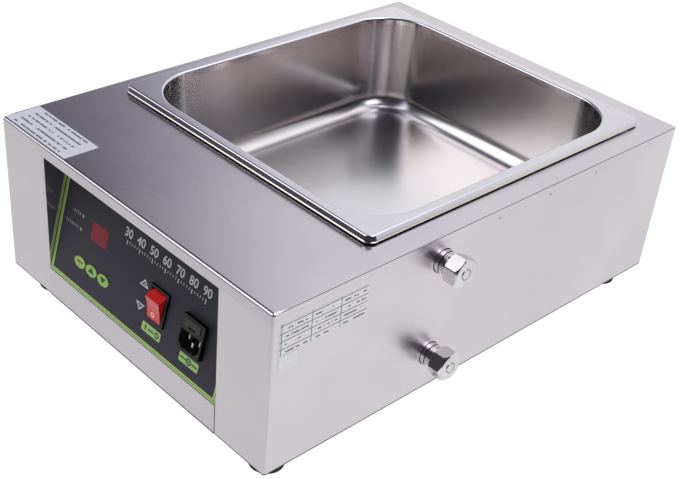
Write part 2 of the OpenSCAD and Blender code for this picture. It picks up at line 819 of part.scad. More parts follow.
// One bent sheet: right and left sides, back, front jambs, the recess's cheeks and the bottom flange.
module casing_wrap() {
  color(steel) difference() {
    union() {
      difference() {
        wall_ring(wall_top);
        translate([panel_x - panel_w / 2 - sheet_t, front_y - over, -over])
          cube([panel_w + 2 * sheet_t, sheet_t + over, casing_h]);
        lip_zone(casing_h);
      }
      for (i = sides) {
        translate([panel_x + i * (panel_w + sheet_t) / 2 - sheet_t / 2, front_y, flange_z])
          cube([sheet_t, cheek_d, lip_z - flange_z]);
      }
      translate([0, 0, flange_z]) linear_extrude(sheet_t) difference() {
        rounded_rect(inner_w, inner_d, corner_r - sheet_t);
        rounded_rect(inner_w - 2 * floor_flange_w, inner_d - 2 * floor_flange_w, corner_r);
      }
    }
    for (z = [exhaust_z, drain_z]) {
      translate([right_x - sheet_t - over, pipe_line_y, z]) bar_x(pipe_d + 2 * pipe_gap, sheet_t + 2 * over);
    }
    for (p = base_spots) {
      translate([p.x, p.y, 0]) cylinder(d = base_screw_d + 2 * screw_clear, h = flange_z + sheet_t + over);
    }
  }
}

// Top sheet with the pan's cut-out, its front lip and the lips tucked inside the walls.
module top_deck() {
  color(steel) difference() {
    union() {
      translate([0, 0, wall_top]) rounded_plate(casing_w, casing_d, corner_r, sheet_t);
      intersection() {
        translate([0, 0, lip_z]) wall_ring(deck_lip_h - sheet_t / 2);
        lip_zone(casing_h);
      }
      for (i = sides) {
        translate([i * (inner_w - sheet_t) / 2, 0, 0])
          block(sheet_t, inner_d - 2 * tuck_end, wall_top - tuck_h, wall_top);
      }
      translate([0, (inner_d - sheet_t) / 2, 0])
        block(inner_w - 2 * tuck_end, sheet_t, wall_top - tuck_h, wall_top);
    }
    translate([pan_x, pan_y, wall_top - over]) rounded_plate(hole_w, hole_d, hole_r, sheet_t + 2 * over);
  }
}

// Oval disc standing on the XY plane.
module oval(w, h, t) {
  scale([1, h / w, 1]) cylinder(d = w, h = t);
}

// Cut-outs shared by the fascia and the overlay, in the panel's frame.
module panel_cuts(key_hole_w, key_hole_h) {
  translate([display_c, display_t, 0])
    block(display_w + 2 * window_gap, display_h + 2 * window_gap, -2 * sheet_t, over);
  for (t = [lamp_low_t, lamp_high_t]) {
    translate([lamp_c, t, -2 * sheet_t]) cylinder(d = lamp_d + 2 * lamp_gap, h = 2 * sheet_t + over);
  }
  for (x = key_xs) {
    translate([x, key_t, -2 * sheet_t]) oval(key_hole_w, key_hole_h, 2 * sheet_t + over);
  }
  translate([switch_c, switch_t, 0])
    block(switch_body_w + 2 * fascia_gap, switch_body_h + 2 * fascia_gap, -2 * sheet_t, over);
  translate([inlet_c, inlet_t, 0])
    block(inlet_body_w + 2 * fascia_gap, inlet_body_h + 2 * fascia_gap, -2 * sheet_t, over);
}

// Front sheet: upright apron, sloped panel and the flange under the deck.
module control_fascia() {
  color(steel) difference() {
    union() {
      translate([panel_x, front_y + sheet_t / 2, 0]) block(fascia_w, sheet_t, 0, apron_h);
      intersection() {
        on_panel() translate([panel_x - fascia_w / 2, -sheet_t, fascia_back])
          cube([fascia_w, panel_run + 2 * sheet_t, sheet_t]);
        translate([panel_x, front_y + casing_d / 4, 0]) block(panel_w, casing_d / 2, 0, wall_top);
      }
      translate([panel_x - fascia_w / 2, panel_back, wall_top - sheet_t])
        cube([fascia_w, fascia_flange_w, sheet_t]);
    }
    on_panel() panel_cuts(stem_hole_d, stem_hole_d);
  }
}

// Printed sheet on the sloped panel.
module panel_overlay() {
  color(charcoal) on_panel() difference() {
    translate([panel_x - overlay_w / 2, overlay_margin, 0]) cube([overlay_w, overlay_run, overlay_t]);
    panel_cuts(key_d + 2 * key_ring_gap, key_short_d + 2 * key_ring_gap);
  }
}

// Tinted window, flush with the overlay, seated on the display.
module display_window() {
  color(dark_red) on_panel() translate([display_c, display_t, 0])
    block(display_w, display_h, fascia_back, overlay_t);
}

// Two small lamps standing on the control board.
module indicator_lamps() {
  color(white) on_panel() {
    for (t = [lamp_low_t, lamp_high_t]) {
      translate([lamp_c, t, board_front])
        cylinder(d = lamp_d, h = overlay_t + lamp_proud - board_front);
    }
  }
}

// Display block between the window and the control board.
module display_module() {
  color(black) on_panel() translate([display_c, display_t, 0])
    block(display_w, display_h, board_front, fascia_back);
}

// Screw positions of the control board.
board_spots = [
  for (i = sides) for (j = sides)
    [board_c + i * (board_w / 2 - board_inset), board_c_t + j * (board_h / 2 - board_inset)]
];

// Circuit board behind the panel.
module control_board() {
  color(green_board) on_panel() difference() {
    translate([board_c, board_c_t, 0]) block(board_w, board_h, board_back, board_front);
    for (p = board_spots) {
      translate([p.x, p.y, board_back - over])
        cylinder(d = board_screw_d + 2 * screw_clear, h = board_t + 2 * over);
    }
  }
}

// Three push switches on the control board, one behind each key.
module key_switches() {
  color(dark_grey) on_panel() {
    for (x = key_xs) {
      translate([x, key_t, 0]) {
        block(tact_w, tact_w, board_front, board_front + tact_h);
        translate([0, 0, board_front])
          cylinder(d = tact_tip_d, h = -key_stem_reach - key_under - board_front);
      }
    }
  }
}

// Four standoffs on the fascia's back.
module board_standoffs() {
  color(bright_steel) on_panel() {
    for (p = board_spots) {
      translate([p.x, p.y, board_front]) difference() {
        cylinder(d = standoff_d, h = board_gap);
        translate([0, 0, -over])
          cylinder(d = board_screw_d + 2 * screw_clear, h = board_screw_len + over);
      }
    }
  }
}

// Four screws that hold the control board.
module board_screws() {
  color(bright_steel) on_panel() {
    for (p = board_spots) {
      translate([p.x, p.y, board_back]) screw(board_screw_d, board_screw_len, board_head_d, board_head_h);
    }
  }
}

// Oval key: cap over the overlay's hole, stem through the fascia, collar behind it.
module key(x) {
  color(lime) on_panel() translate([x, key_t, 0]) {
    translate([0, 0, key_under]) oval(key_d, key_short_d, key_cap_t);
    translate([0, 0, -key_stem_reach]) cylinder(d = key_stem_d, h = key_stem_reach + key_under);
    translate([0, 0, fascia_back - key_collar_t]) cylinder(d = key_collar_d, h = key_collar_t);
  }
}

// First key, which picks what is set.
module set_key() {
  key(key_xs[0]);
}

// Second key, which raises the temperature.
module up_key() {
  key(key_xs[1]);
}

// Third key, which lowers it.
module down_key() {
  key(key_xs[2]);
}

// Terminal positions of the switch.
switch_tabs = [
  for (i = sides) for (j = sides) [switch_c + i * switch_tab_x, switch_t + j * switch_tab_t]
];

// Housing of the switch: bezel on the overlay, well for the rocker, pivot holes in its side walls.
module switch_housing() {
  color(black) on_panel() translate([switch_c, switch_t, 0]) difference() {
    union() {
      translate([0, 0, overlay_t]) rounded_plate(switch_w, switch_h, bezel_r, bezel_t);
      block(switch_body_w, switch_body_h, overlay_t - switch_depth, overlay_t + bezel_t / 2);
    }
    block(rocker_well_w, rocker_well_h, pivot_n - rocker_well, bezel_face + over);
    translate([-switch_body_w / 2 - over, 0, pivot_n])
      bar_x(trunnion_d + 2 * run_clear, switch_body_w + 2 * over);
  }
}

// Four push-on terminals at the back of the switch.
module switch_terminals() {
  color(brass) on_panel() {
    for (p = switch_tabs) {
      translate([p.x, p.y, 0])
        block(tab_t, tab_w, overlay_t - switch_depth - tab_len, overlay_t - switch_depth);
    }
  }
}

// Rocker with a hollow face, sloping ends and two pivot pins, lower end pressed.
module rocker_paddle() {
  color(red) on_panel() translate([switch_c, switch_t, pivot_n]) rotate([rocker_tilt, 0, 0]) {
    rotate([90, 0, 90]) translate([0, 0, -rocker_w / 2]) difference() {
      linear_extrude(rocker_w) polygon([
        [-rocker_keel_w, -rocker_keel_h],
        [rocker_keel_w, -rocker_keel_h],
        [rocker_shoulder, rocker_shoulder_h],
        [rocker_reach, rocker_face_h],
        [-rocker_reach, rocker_face_h],
        [-rocker_shoulder, rocker_shoulder_h]
      ]);
      translate([0, rocker_face_h - rocker_dish + rocker_dish_r, -over])
        cylinder(r = rocker_dish_r, h = rocker_w + 2 * over);
    }
    translate([-rocker_w / 2 - trunnion_len, 0, 0]) bar_x(trunnion_d, rocker_w + 2 * trunnion_len);
  }
}

// Outline of the socket: a rectangle with its two lower corners cut.
module socket_outline() {
  polygon([
    [-socket_w / 2 + socket_cut, -socket_h / 2],
    [socket_w / 2 - socket_cut, -socket_h / 2],
    [socket_w / 2, -socket_h / 2 + socket_cut],
    [socket_w / 2, socket_h / 2],
    [-socket_w / 2, socket_h / 2],
    [-socket_w / 2, -socket_h / 2 + socket_cut]
  ]);
}

// Mains inlet: proud face, body behind the panel, socket below and fuse drawer's slot above.
module inlet_body() {
  color(black) on_panel() difference() {
    union() {
      translate([inlet_c, inlet_t, overlay_t]) rounded_plate(inlet_w, inlet_h, bezel_r, inlet_proud);
      translate([inlet_c, inlet_t, 0]) block(inlet_body_w, inlet_body_h, inlet_back, overlay_t + over);
    }
    translate([inlet_c, socket_t, socket_floor]) linear_extrude(socket_depth + over) socket_outline();
    for (p = pin_spots) {
      translate([p.x, p.y, 0])
        block(pin_w + 2 * pin_gap, pin_h + 2 * pin_gap, inlet_back - over, socket_floor + over);
    }
    translate([inlet_c, drawer_t, 0])
      block(
        drawer_w + 2 * drawer_gap, drawer_h + 2 * drawer_gap,
        drawer_back - drawer_gap, inlet_face + over
      );
  }
}

// Three contact pins with their tails behind the body.
module inlet_pins() {
  color(bright_steel) on_panel() {
    for (i = [0 : len(pin_spots) - 1]) {
      translate([pin_spots[i].x, pin_spots[i].y, 0])
        block(pin_w, pin_h, pin_back, socket_floor + pin_lens[i]);
    }
  }
}

// Fuse drawer with a pocket for the fuse and a finger notch along its lower edge.
module fuse_drawer() {
  color(dark_grey) on_panel() difference() {
    translate([inlet_c, drawer_t, 0]) block(drawer_w, drawer_h, drawer_back, drawer_face);
    translate([inlet_c, drawer_t + drawer_h / 2 - fuse_pocket_h / 2 + over / 2, 0])
      block(
        fuse_d + 2 * fuse_gap, fuse_pocket_h + over,
        fuse_back - fuse_gap, fuse_back + fuse_len + fuse_gap
      );
    translate([inlet_c, drawer_t - drawer_h / 2, 0])
      block(notch_w, 2 * notch_depth, drawer_face - notch_depth, drawer_face + over);
  }
}

// Tubular fuse lying in the drawer.
module fuse() {
  color(glass_clear) on_panel() translate([inlet_c, fuse_t, fuse_back]) cylinder(d = fuse_d, h = fuse_len);
}

// Water tank: open tub under the deck, flanged to it, with holes for the pipes, heater and probe.
module water_tank() {
  color(pan_steel) difference() {
    translate([pan_x, pan_y, 0]) {
      difference() {
        union() {
          translate([0, 0, tank_z])
            rounded_plate(tank_w + 2 * sheet_t, tank_d + 2 * sheet_t, tank_r + sheet_t, wall_top - tank_z);
          translate([0, 0, wall_top - sheet_t])
            rounded_plate(
              tank_w + 2 * tank_flange_w, tank_d + 2 * tank_flange_w, tank_r + tank_flange_w, sheet_t
            );
        }
        translate([0, 0, tank_floor]) rounded_plate(tank_w, tank_d, tank_r, casing_h);
      }
    }
    for (z = [exhaust_z, drain_z]) {
      translate([tank_right - sheet_t - over, pipe_line_y, z]) bar_x(pipe_bore, sheet_t + 2 * over);
    }
    for (x = heater_xs) {
      translate([x, tank_front - over, heater_z])
        bar_y(heater_shank_d + 2 * gland_clear, sheet_t + 2 * over);
    }
    translate([pan_x, tank_front - over, probe_z])
      bar_y(probe_shank_d + 2 * gland_clear, sheet_t + 2 * over);
  }
}

// Lift-out pan: tapered tub with a flat rim and a lip turned down onto the deck.
module pan() {
  color(pan_steel) translate([pan_x, pan_y, 0]) difference() {
    union() {
      translate([0, 0, pan_bottom])
        tub(
          mouth_w + 2 * pan_t, mouth_d + 2 * pan_t, pan_corner_r + pan_t,
          pan_depth, pan_draft, pan_floor_r + pan_t
        );
      translate([0, 0, rim_top - pan_t]) rounded_plate(pan_w, pan_d, rim_corner_r, pan_t);
      translate([0, 0, casing_h]) linear_extrude(rim_h) difference() {
        rounded_rect(pan_w, pan_d, rim_corner_r);
        rounded_rect(pan_w - 2 * pan_t, pan_d - 2 * pan_t, rim_corner_r - pan_t);
      }
    }
    translate([0, 0, pan_bottom + pan_t])
      tub(mouth_w, mouth_d, pan_corner_r, pan_depth + over, pan_draft, pan_floor_r);
  }
}

// Tubular element: four runs joined by three half-turns, both ends through the tank's front wall.
module heating_element() {
  color(dark_grey) translate([0, 0, heater_z]) {
    for (x = heater_xs) {
      translate([x, heater_end, 0]) bar_y(heater_d, heater_back_y - heater_end);
    }
    for (i = sides) {
      translate([pan_x + i * heater_r, heater_front_y, 0]) bar_y(heater_d, heater_back_y - heater_front_y);
      translate([pan_x + i * heater_pitch, heater_back_y, 0])
        rotate_extrude(angle = 180) translate([heater_r, 0]) circle(d = heater_d);
    }
    translate([pan_x, heater_front_y, 0])
      rotate([0, 0, 180]) rotate_extrude(angle = 180) translate([heater_r, 0]) circle(d = heater_d);
  }
}

// Two terminal pins on the element's ends.
module heater_terminals() {
  color(brass) {
    for (x = heater_xs) {
      translate([x, terminal_end, heater_z]) bar_y(terminal_d, terminal_len);
    }
  }
}

// Glands that hold the element's two ends in the tank's front wall.
module heater_glands() {
  color(bright_steel) {
    for (x = heater_xs) {
      translate([x, tank_front, heater_z]) gland_y(heater_d, heater_shank_d);
    }
  }
}

// Sealing washers between the tank's wall and the gland nuts.
module heater_washers() {
  color(silicone_red) {
    for (x = heater_xs) {
      translate([x, tank_front - washer_t, heater_z]) difference() {
        bar_y(heater_shank_d + 2 * gland_flange_w, washer_t);
        translate([0, -over, 0]) bar_y(heater_shank_d + 2 * gland_clear, washer_t + 2 * over);
      }
    }
  }
}

// Nuts that draw the element's glands against their washers.
module heater_nuts() {
  color(bright_steel) {
    for (x = heater_xs) {
      translate([x, tank_front - washer_t, heater_z])
        nut_y(heater_shank_d + 2 * gland_clear, heater_shank_d + 2 * gland_flange_w, gland_nut_t);
    }
  }
}

// Two upright strips on the tank's floor with a saddle under each run of the element.
module heater_supports() {
  color(pan_steel) {
    for (y = support_ys) {
      translate([pan_x, y, 0]) difference() {
        block(3 * heater_pitch + 2 * support_over, sheet_t, tank_floor, heater_z);
        for (x = heater_runs) {
          translate([x, -sheet_t, heater_z]) bar_y(heater_d + 2 * heater_clear, 2 * sheet_t);
        }
      }
    }
  }
}

// Rod that senses the water's temperature.
module temperature_probe() {
  color(bright_steel) translate([pan_x, tank_front - probe_tail, probe_z])
    bar_y(probe_d, probe_tail + sheet_t + probe_reach);
}

// Gland that holds the probe in the tank's front wall.
module probe_gland() {
  color(bright_steel) translate([pan_x, tank_front, probe_z]) gland_y(probe_d, probe_shank_d);
}

// Nut of the probe's gland.
module probe_nut() {
  color(bright_steel) translate([pan_x, tank_front, probe_z])
    nut_y(probe_shank_d + 2 * gland_clear, probe_shank_d + 2 * gland_flange_w, gland_nut_t);
}

// Over-temperature cut-out pressed to the tank's front wall.
module thermal_cutout() {
  color(dark_grey) translate([pan_x + cutout_x, tank_front, cutout_z]) {
    translate([0, -cutout_cap_t, 0]) bar_y(cutout_cap_d, cutout_cap_t);
    translate([0, -cutout_cap_t - cutout_body_len, 0]) bar_y(cutout_body_d, cutout_body_len);
  }
}

// Strap over the cut-out's cap, with a leg to the wall at each end.
module cutout_bracket() {
  color(bright_steel) translate([pan_x + cutout_x, tank_front, cutout_z]) difference() {
    union() {
      translate([0, -cutout_cap_t - sheet_t / 2, 0]) block(bracket_w, sheet_t, -bracket_h / 2, bracket_h / 2);
      for (i = sides) {
        translate([i * (bracket_w - sheet_t) / 2, -(cutout_cap_t + sheet_t) / 2, 0])
          block(sheet_t, cutout_cap_t + sheet_t, -bracket_h / 2, bracket_h / 2);
      }
    }
    translate([0, -cutout_cap_t - 2 * sheet_t, 0])
      bar_y(cutout_body_d + 2 * heater_clear, 2 * sheet_t + over / 2);
  }
}

// Pipe from the tank's wall out through the casing, threaded at its free end.
module pipe(z) {
  color(bright_steel) translate([tank_right, pipe_line_y, z]) rotate([0, 90, 0]) difference() {
    cylinder(d = pipe_d, h = pipe_end - tank_right);
    translate([0, 0, -over]) cylinder(d = pipe_bore, h = pipe_end - tank_right + 2 * over);
    for (k = [1 : groove_count]) {
      translate([0, 0, pipe_end - tank_right - k * thread_pitch])
        rotate_extrude() polygon([
          [pipe_d / 2 + thread_depth, -thread_pitch * thread_open],
          [pipe_d / 2 - thread_depth, 0],
          [pipe_d / 2 + thread_depth, thread_pitch * thread_open]
        ]);
    }
  }
}

// Pipe that lets air out of the top of the water bath.
module exhaust_pipe() {
  pipe(exhaust_z);
}

// Pipe that empties the water bath.
module drain_pipe() {
  pipe(drain_z);
}

// Ring that a cap presses onto its pipe's end.
module seal(z) {
  color(silicone_red) translate([pipe_end, pipe_line_y, z]) rotate([0, 90, 0]) difference() {
    cylinder(d = seal_d, h = seal_t);
    translate([0, 0, -over]) cylinder(d = pipe_bore, h = seal_t + 2 * over);
  }
}

// Seal of the exhaust cap.
module exhaust_seal() {
  seal(exhaust_z);
}

// Seal of the drain cap.
module drain_seal() {
  seal(drain_z);
}

// Hexagonal cap with chamfered corners, screwed over its pipe's end.
module cap(z, turn) {
  cap_len = cap_end - cap_start;
  cap_r = cap_af / 2 / cos(30);
  color(bright_steel) translate([cap_start, pipe_line_y, z]) rotate([turn, 0, 0]) rotate([0, 90, 0])
    difference() {
      union() {
        intersection() {
          rotate([0, 0, 90]) cylinder(r = cap_r, h = cap_len, $fn = hex_fn);
          rotate_extrude() polygon([
            [0, 0],
            [cap_af / 2, 0],
            [cap_af / 2 + cap_chamfer, cap_chamfer / 2],
            [cap_af / 2 + cap_chamfer, cap_len - cap_chamfer],
            [cap_af / 2 - cap_chamfer / 2, cap_len],
            [0, cap_len]
          ]);
        }
        translate([0, 0, cap_len - over]) cylinder(d = cap_boss_d, h = cap_boss_t + over);
      }
      translate([0, 0, -over]) cylinder(d = cap_bore_d, h = cap_floor - cap_start + over);
    }
}

// Cap of the exhaust pipe.
module exhaust_cap() {
  cap(exhaust_z, exhaust_turn);
}

// Cap of the drain pipe.
module drain_cap() {
  cap(drain_z, drain_turn);
}

// Screw positions of the power board.
power_spots = [
  for (i = sides) for (j = sides)
    [power_x + i * (power_w / 2 - board_inset), power_y + j * (power_d / 2 - board_inset)]
];

// Circuit board that switches the heater, on the base plate.
module power_board() {
  color(green_board) difference() {
    translate([power_x, power_y, 0]) block(power_w, power_d, power_top - board_t, power_top);
    for (p = power_spots) {
      translate([p.x, p.y, 0]) cylinder(d = board_screw_d + 2 * screw_clear, h = power_top + over);
    }
  }
}

// Four standoffs under the power board.
module power_standoffs() {
  color(bright_steel) {
    for (p = power_spots) {
      translate([p.x, p.y, base_t]) difference() {
        cylinder(d = standoff_d, h = power_standoff_h);
        translate([0, 0, power_standoff_h - board_screw_len])
          cylinder(d = board_screw_d + 2 * screw_clear, h = board_screw_len + over);
      }
    }
  }
}

// Four screws that hold the power board.
module power_screws() {
  color(bright_steel) {
    for (p = power_spots) {
      translate([p.x, p.y, power_top]) mirror([0, 0, 1])
        screw(board_screw_d, board_screw_len, board_head_d, board_head_h);
    }
  }
}

// Transformer that feeds the control board.
module transformer() {
  color(charcoal) translate([power_x - power_part_x, power_y, 0])
    block(transformer_w, transformer_d, power_top, power_top + transformer_h);
}

// Relay that switches the element.
module relay() {
  color(blue) translate([power_x + power_part_x, power_y, 0])
    block(relay_w, relay_d, power_top, power_top + relay_h);
}

// Spacing of the terminal block's ways.
block_pitch = block_w / block_ways;

// Terminal block on the base plate with a row of screw wells.
module terminal_block() {
  color(white) translate([block_x, power_y, 0]) difference() {
    block(block_w, block_d, base_t, base_t + block_h);
    for (k = [0 : block_ways - 1]) {
      translate([(k + 0.5) * block_pitch - block_w / 2, 0, base_t + block_h - block_well_h])
        cylinder(d = block_well_d, h = block_well_h + over);
    }
  }
}

// Earth stud on the base plate with its nut.
module earth_stud() {
  color(brass) translate([earth_x, power_y, base_t]) {
    cylinder(d = earth_d, h = earth_h);
    cylinder(d = 2 * earth_d, h = earth_d, $fn = hex_fn);
  }
}

// End of a wire at one of the terminal block's ways, on its front or back face.
function block_end(way, side) = [
  block_x + (way + 0.5) * block_pitch - block_w / 2,
  power_y + side * (block_d / 2 + wire_gap),
  base_t + block_h / 2
];

// Wire from a contact pin down and along to a terminal on the switch.
module pin_to_switch(pin, tab, depth) {
  tail = wire_gap + wire_drop + depth;
  tab_end = overlay_t - switch_depth - tab_len;
  wire([
    panel_point(pin.x, pin.y, pin_back - wire_gap),
    panel_point(pin.x, pin.y, tab_end - tail),
    panel_point(tab.x, tab.y, tab_end - tail),
    panel_point(tab.x, tab.y, tab_end - wire_gap)
  ]);
}

// Wire from a terminal on the switch down to the front of the terminal block.
module switch_to_block(tab, way, depth) {
  tab_end = overlay_t - switch_depth - tab_len;
  foot = block_end(way, -1);
  knee = panel_point(tab.x, tab.y, tab_end - wire_gap - wire_drop - depth);
  wire([
    panel_point(tab.x, tab.y, tab_end - wire_gap),
    knee,
    [foot.x, knee.y, knee.z],
    [foot.x, knee.y, foot.z],
    foot
  ]);
}

// Wire from the back of the terminal block along to a heater terminal.
module block_to_heater(way, x, lift) {
  foot = block_end(way, 1);
  lane = foot.y + wire_drop + lift;
  wire([
    foot,
    [foot.x, lane, foot.z],
    [foot.x, lane, loom_z + lift],
    [x, lane, loom_z + lift],
    [x, lane, heater_z],
    [x, terminal_end - wire_gap, heater_z]
  ]);
}

// Live wires from the inlet, through the switch, to the element.
module live_wires() {
  color(brown) {
    pin_to_switch(pin_spots[0], switch_tabs[2], 0);
    switch_to_block(switch_tabs[3], 1, 2 * loom_step);
    block_to_heater(1, heater_xs[0], loom_step);
  }
}

// Neutral wires from the inlet, through the switch, to the element.
module neutral_wires() {
  color(blue) {
    pin_to_switch(pin_spots[1], switch_tabs[0], loom_step);
    switch_to_block(switch_tabs[1], 0, 3 * loom_step);
    block_to_heater(3, heater_xs[1], 0);
  }
}

// Wire from the earth pin to the earth stud.
module earth_wire() {
  start = pin_spots[2];
  knee = panel_point(start.x, start.y, pin_back - wire_gap - wire_drop);
  top = base_t + earth_h + wire_gap;
  color(earth_green) wire([
    panel_point(start.x, start.y, pin_back - wire_gap),
    knee,
    [earth_x, knee.y, knee.z],
    [earth_x, power_y, knee.z],
    [earth_x, power_y, top]
  ]);
}

// Slot with round ends along X.
module slot(len, w, h) {
  block(len - w, w, 0, h);
  for (i = sides) {
    translate([i * (len - w) / 2, 0, 0]) cylinder(d = w, h = h);
  }
}

// Bottom sheet inside the casing's walls, with vent slots and screw holes.
module base_plate() {
  color(steel) difference() {
    rounded_plate(inner_w - 2 * base_gap, inner_d - 2 * base_gap, corner_r, base_t);
    for (i = sides) {
      for (k = [0 : vent_count - 1]) {
        translate([i * vent_x, pan_y + (k - (vent_count - 1) / 2) * vent_pitch, -over])
          slot(vent_len, vent_w, base_t + 2 * over);
      }
    }
    for (p = base_spots) {
      translate([p.x, p.y, -over]) cylinder(d = base_screw_d + 2 * screw_clear, h = base_t + 2 * over);
    }
    for (p = foot_spots) {
      translate([p.x, p.y, -over]) cylinder(d = foot_screw_d + 2 * screw_clear, h = base_t + 2 * over);
    }
  }
}

// Six screws up through the base plate into the bottom flange.
module base_screws() {
  color(bright_steel) {
    for (p = base_spots) {
      translate([p.x, p.y, 0]) screw(base_screw_d, base_screw_len, base_head_d, base_head_h);
    }
  }
}

// Four rubber feet, each with a screw well from below.
module feet() {
  color(black) {
    for (p = foot_spots) {
      translate([p.x, p.y, -foot_h]) difference() {
        rotate_extrude() polygon([
          [0, 0],
          [foot_d / 2 - foot_chamfer, 0],
          [foot_d / 2, foot_chamfer],
          [foot_d / 2, foot_h],
          [0, foot_h]
        ]);
        translate([0, 0, -over]) cylinder(d = foot_well_d, h = foot_well_h + over);
        cylinder(d = foot_screw_d + 2 * screw_clear, h = foot_h + over);
      }
    }
  }
}

// Four screws up through the feet and the base plate.
module foot_screws() {
  color(bright_steel) {
    for (p = foot_spots) {
      translate([p.x, p.y, foot_well_h - foot_h])
        screw(foot_screw_d, foot_h - foot_well_h + base_t + foot_nut_t + over, foot_head_d, foot_head_h);
    }
  }
}

// Nuts of the foot screws, on the base plate.
module foot_nuts() {
  color(bright_steel) {
    for (p = foot_spots) {
      translate([p.x, p.y, base_t]) difference() {
        cylinder(d = foot_head_d, h = foot_nut_t, $fn = hex_fn);
        translate([0, 0, -over]) cylinder(d = foot_screw_d + 2 * screw_clear, h = foot_nut_t + 2 * over);
      }
    }
  }
}

// Plain label at the deck's front left corner.
module deck_label() {
  color(white) translate([left_x + deck_label_left, front_y + deck_label_front, casing_h])
    cube([deck_label_w, deck_label_d, label_t]);
}

// Two plain labels at the top front of the right side.
module side_labels() {
  color(white) translate([right_x, front_y + side_label_front, casing_h - side_label_drop]) {
    translate([0, 0, -side_label_h]) cube([label_t, side_label_d, side_label_h]);
    translate([0, 0, -side_label_h - small_label_h - label_gap])
      cube([label_t, small_label_d, small_label_h]);
  }
}

place() casing_wrap();
place() top_deck();
place() control_fascia();
place() panel_overlay();
place() display_window();
place() indicator_lamps();
place() display_module();
place() control_board();
place() key_switches();
place() board_standoffs();
place() board_screws();
place() set_key();
place() up_key();
place() down_key();
place() switch_housing();
place() switch_terminals();
place() rocker_paddle();
place() inlet_body();
place() inlet_pins();
place() fuse_drawer();
place() fuse();
place() water_tank();
place() pan();
place() heating_element();
place() heater_terminals();
place() heater_glands();
place() heater_washers();
place() heater_nuts();
place() heater_supports();
place() temperature_probe();
place() probe_gland();
place() probe_nut();
place() thermal_cutout();
place() cutout_bracket();
place() exhaust_pipe();
place() drain_pipe();
place() exhaust_seal();
place() drain_seal();
place() exhaust_cap();
place() drain_cap();
place() power_board();
place() power_standoffs();
place() power_screws();
place() transformer();
place() relay();
place() terminal_block();
place() earth_stud();
place() live_wires();
place() neutral_wires();
place() earth_wire();
place() base_plate();
place() base_screws();
place() feet();
place() foot_screws();
place() foot_nuts();
place() deck_label();
place() side_labels();
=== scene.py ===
import math

import bmesh
import bpy
from mathutils import Matrix, Vector


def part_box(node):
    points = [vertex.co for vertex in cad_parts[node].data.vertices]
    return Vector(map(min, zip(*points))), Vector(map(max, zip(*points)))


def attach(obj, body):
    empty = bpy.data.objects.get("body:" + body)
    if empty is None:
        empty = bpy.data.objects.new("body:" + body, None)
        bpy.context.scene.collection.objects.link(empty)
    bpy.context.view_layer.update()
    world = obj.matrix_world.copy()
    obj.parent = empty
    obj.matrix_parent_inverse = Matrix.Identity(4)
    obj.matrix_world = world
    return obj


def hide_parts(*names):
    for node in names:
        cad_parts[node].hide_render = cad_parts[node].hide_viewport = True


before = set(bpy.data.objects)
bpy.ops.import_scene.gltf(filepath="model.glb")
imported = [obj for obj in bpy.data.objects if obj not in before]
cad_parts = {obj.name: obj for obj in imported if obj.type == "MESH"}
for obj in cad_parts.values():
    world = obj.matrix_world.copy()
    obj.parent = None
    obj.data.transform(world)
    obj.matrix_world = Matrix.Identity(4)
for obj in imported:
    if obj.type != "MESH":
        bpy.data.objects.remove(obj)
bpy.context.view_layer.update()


# The camera looks down on the front right corner of the tank, as in the photograph.
# Its place, turn, lens and shift put the casing's corners where the photograph has them.
eye = bpy.data.objects.new("eye", bpy.data.cameras.new("eye"))
bpy.context.scene.collection.objects.link(eye)
eye.matrix_world = Matrix(
    (
        (0.66869, -0.45898, 0.58497, 0.65701),
        (0.74028, 0.33742, -0.58150, -0.69676),
        (0.06952, 0.82188, 0.56541, 0.66121),
        (0, 0, 0, 1),
    )
)
eye.data.lens = 63.12
eye.data.sensor_width = 36
eye.data.shift_x = 0.0387
eye.data.shift_y = 0.0572
eye.data.clip_end = 50
bpy.context.scene.camera = eye
bpy.context.scene.view_settings.view_transform = "Standard"


# The studio: a pale floor, two broad lamps, and a surround that is bright behind, in front and above on the
# right, with dim gaps between. Bare sheet metal shows mostly what stands around it.
def paint(*screen):
    """A colour given as it looks on a screen, 0 to 255, in the light's own scale."""
    parts = (c / 255 for c in screen)
    return (*(c / 12.92 if c < 0.04 else ((c + 0.055) / 1.055) ** 2.4 for c in parts), 1)


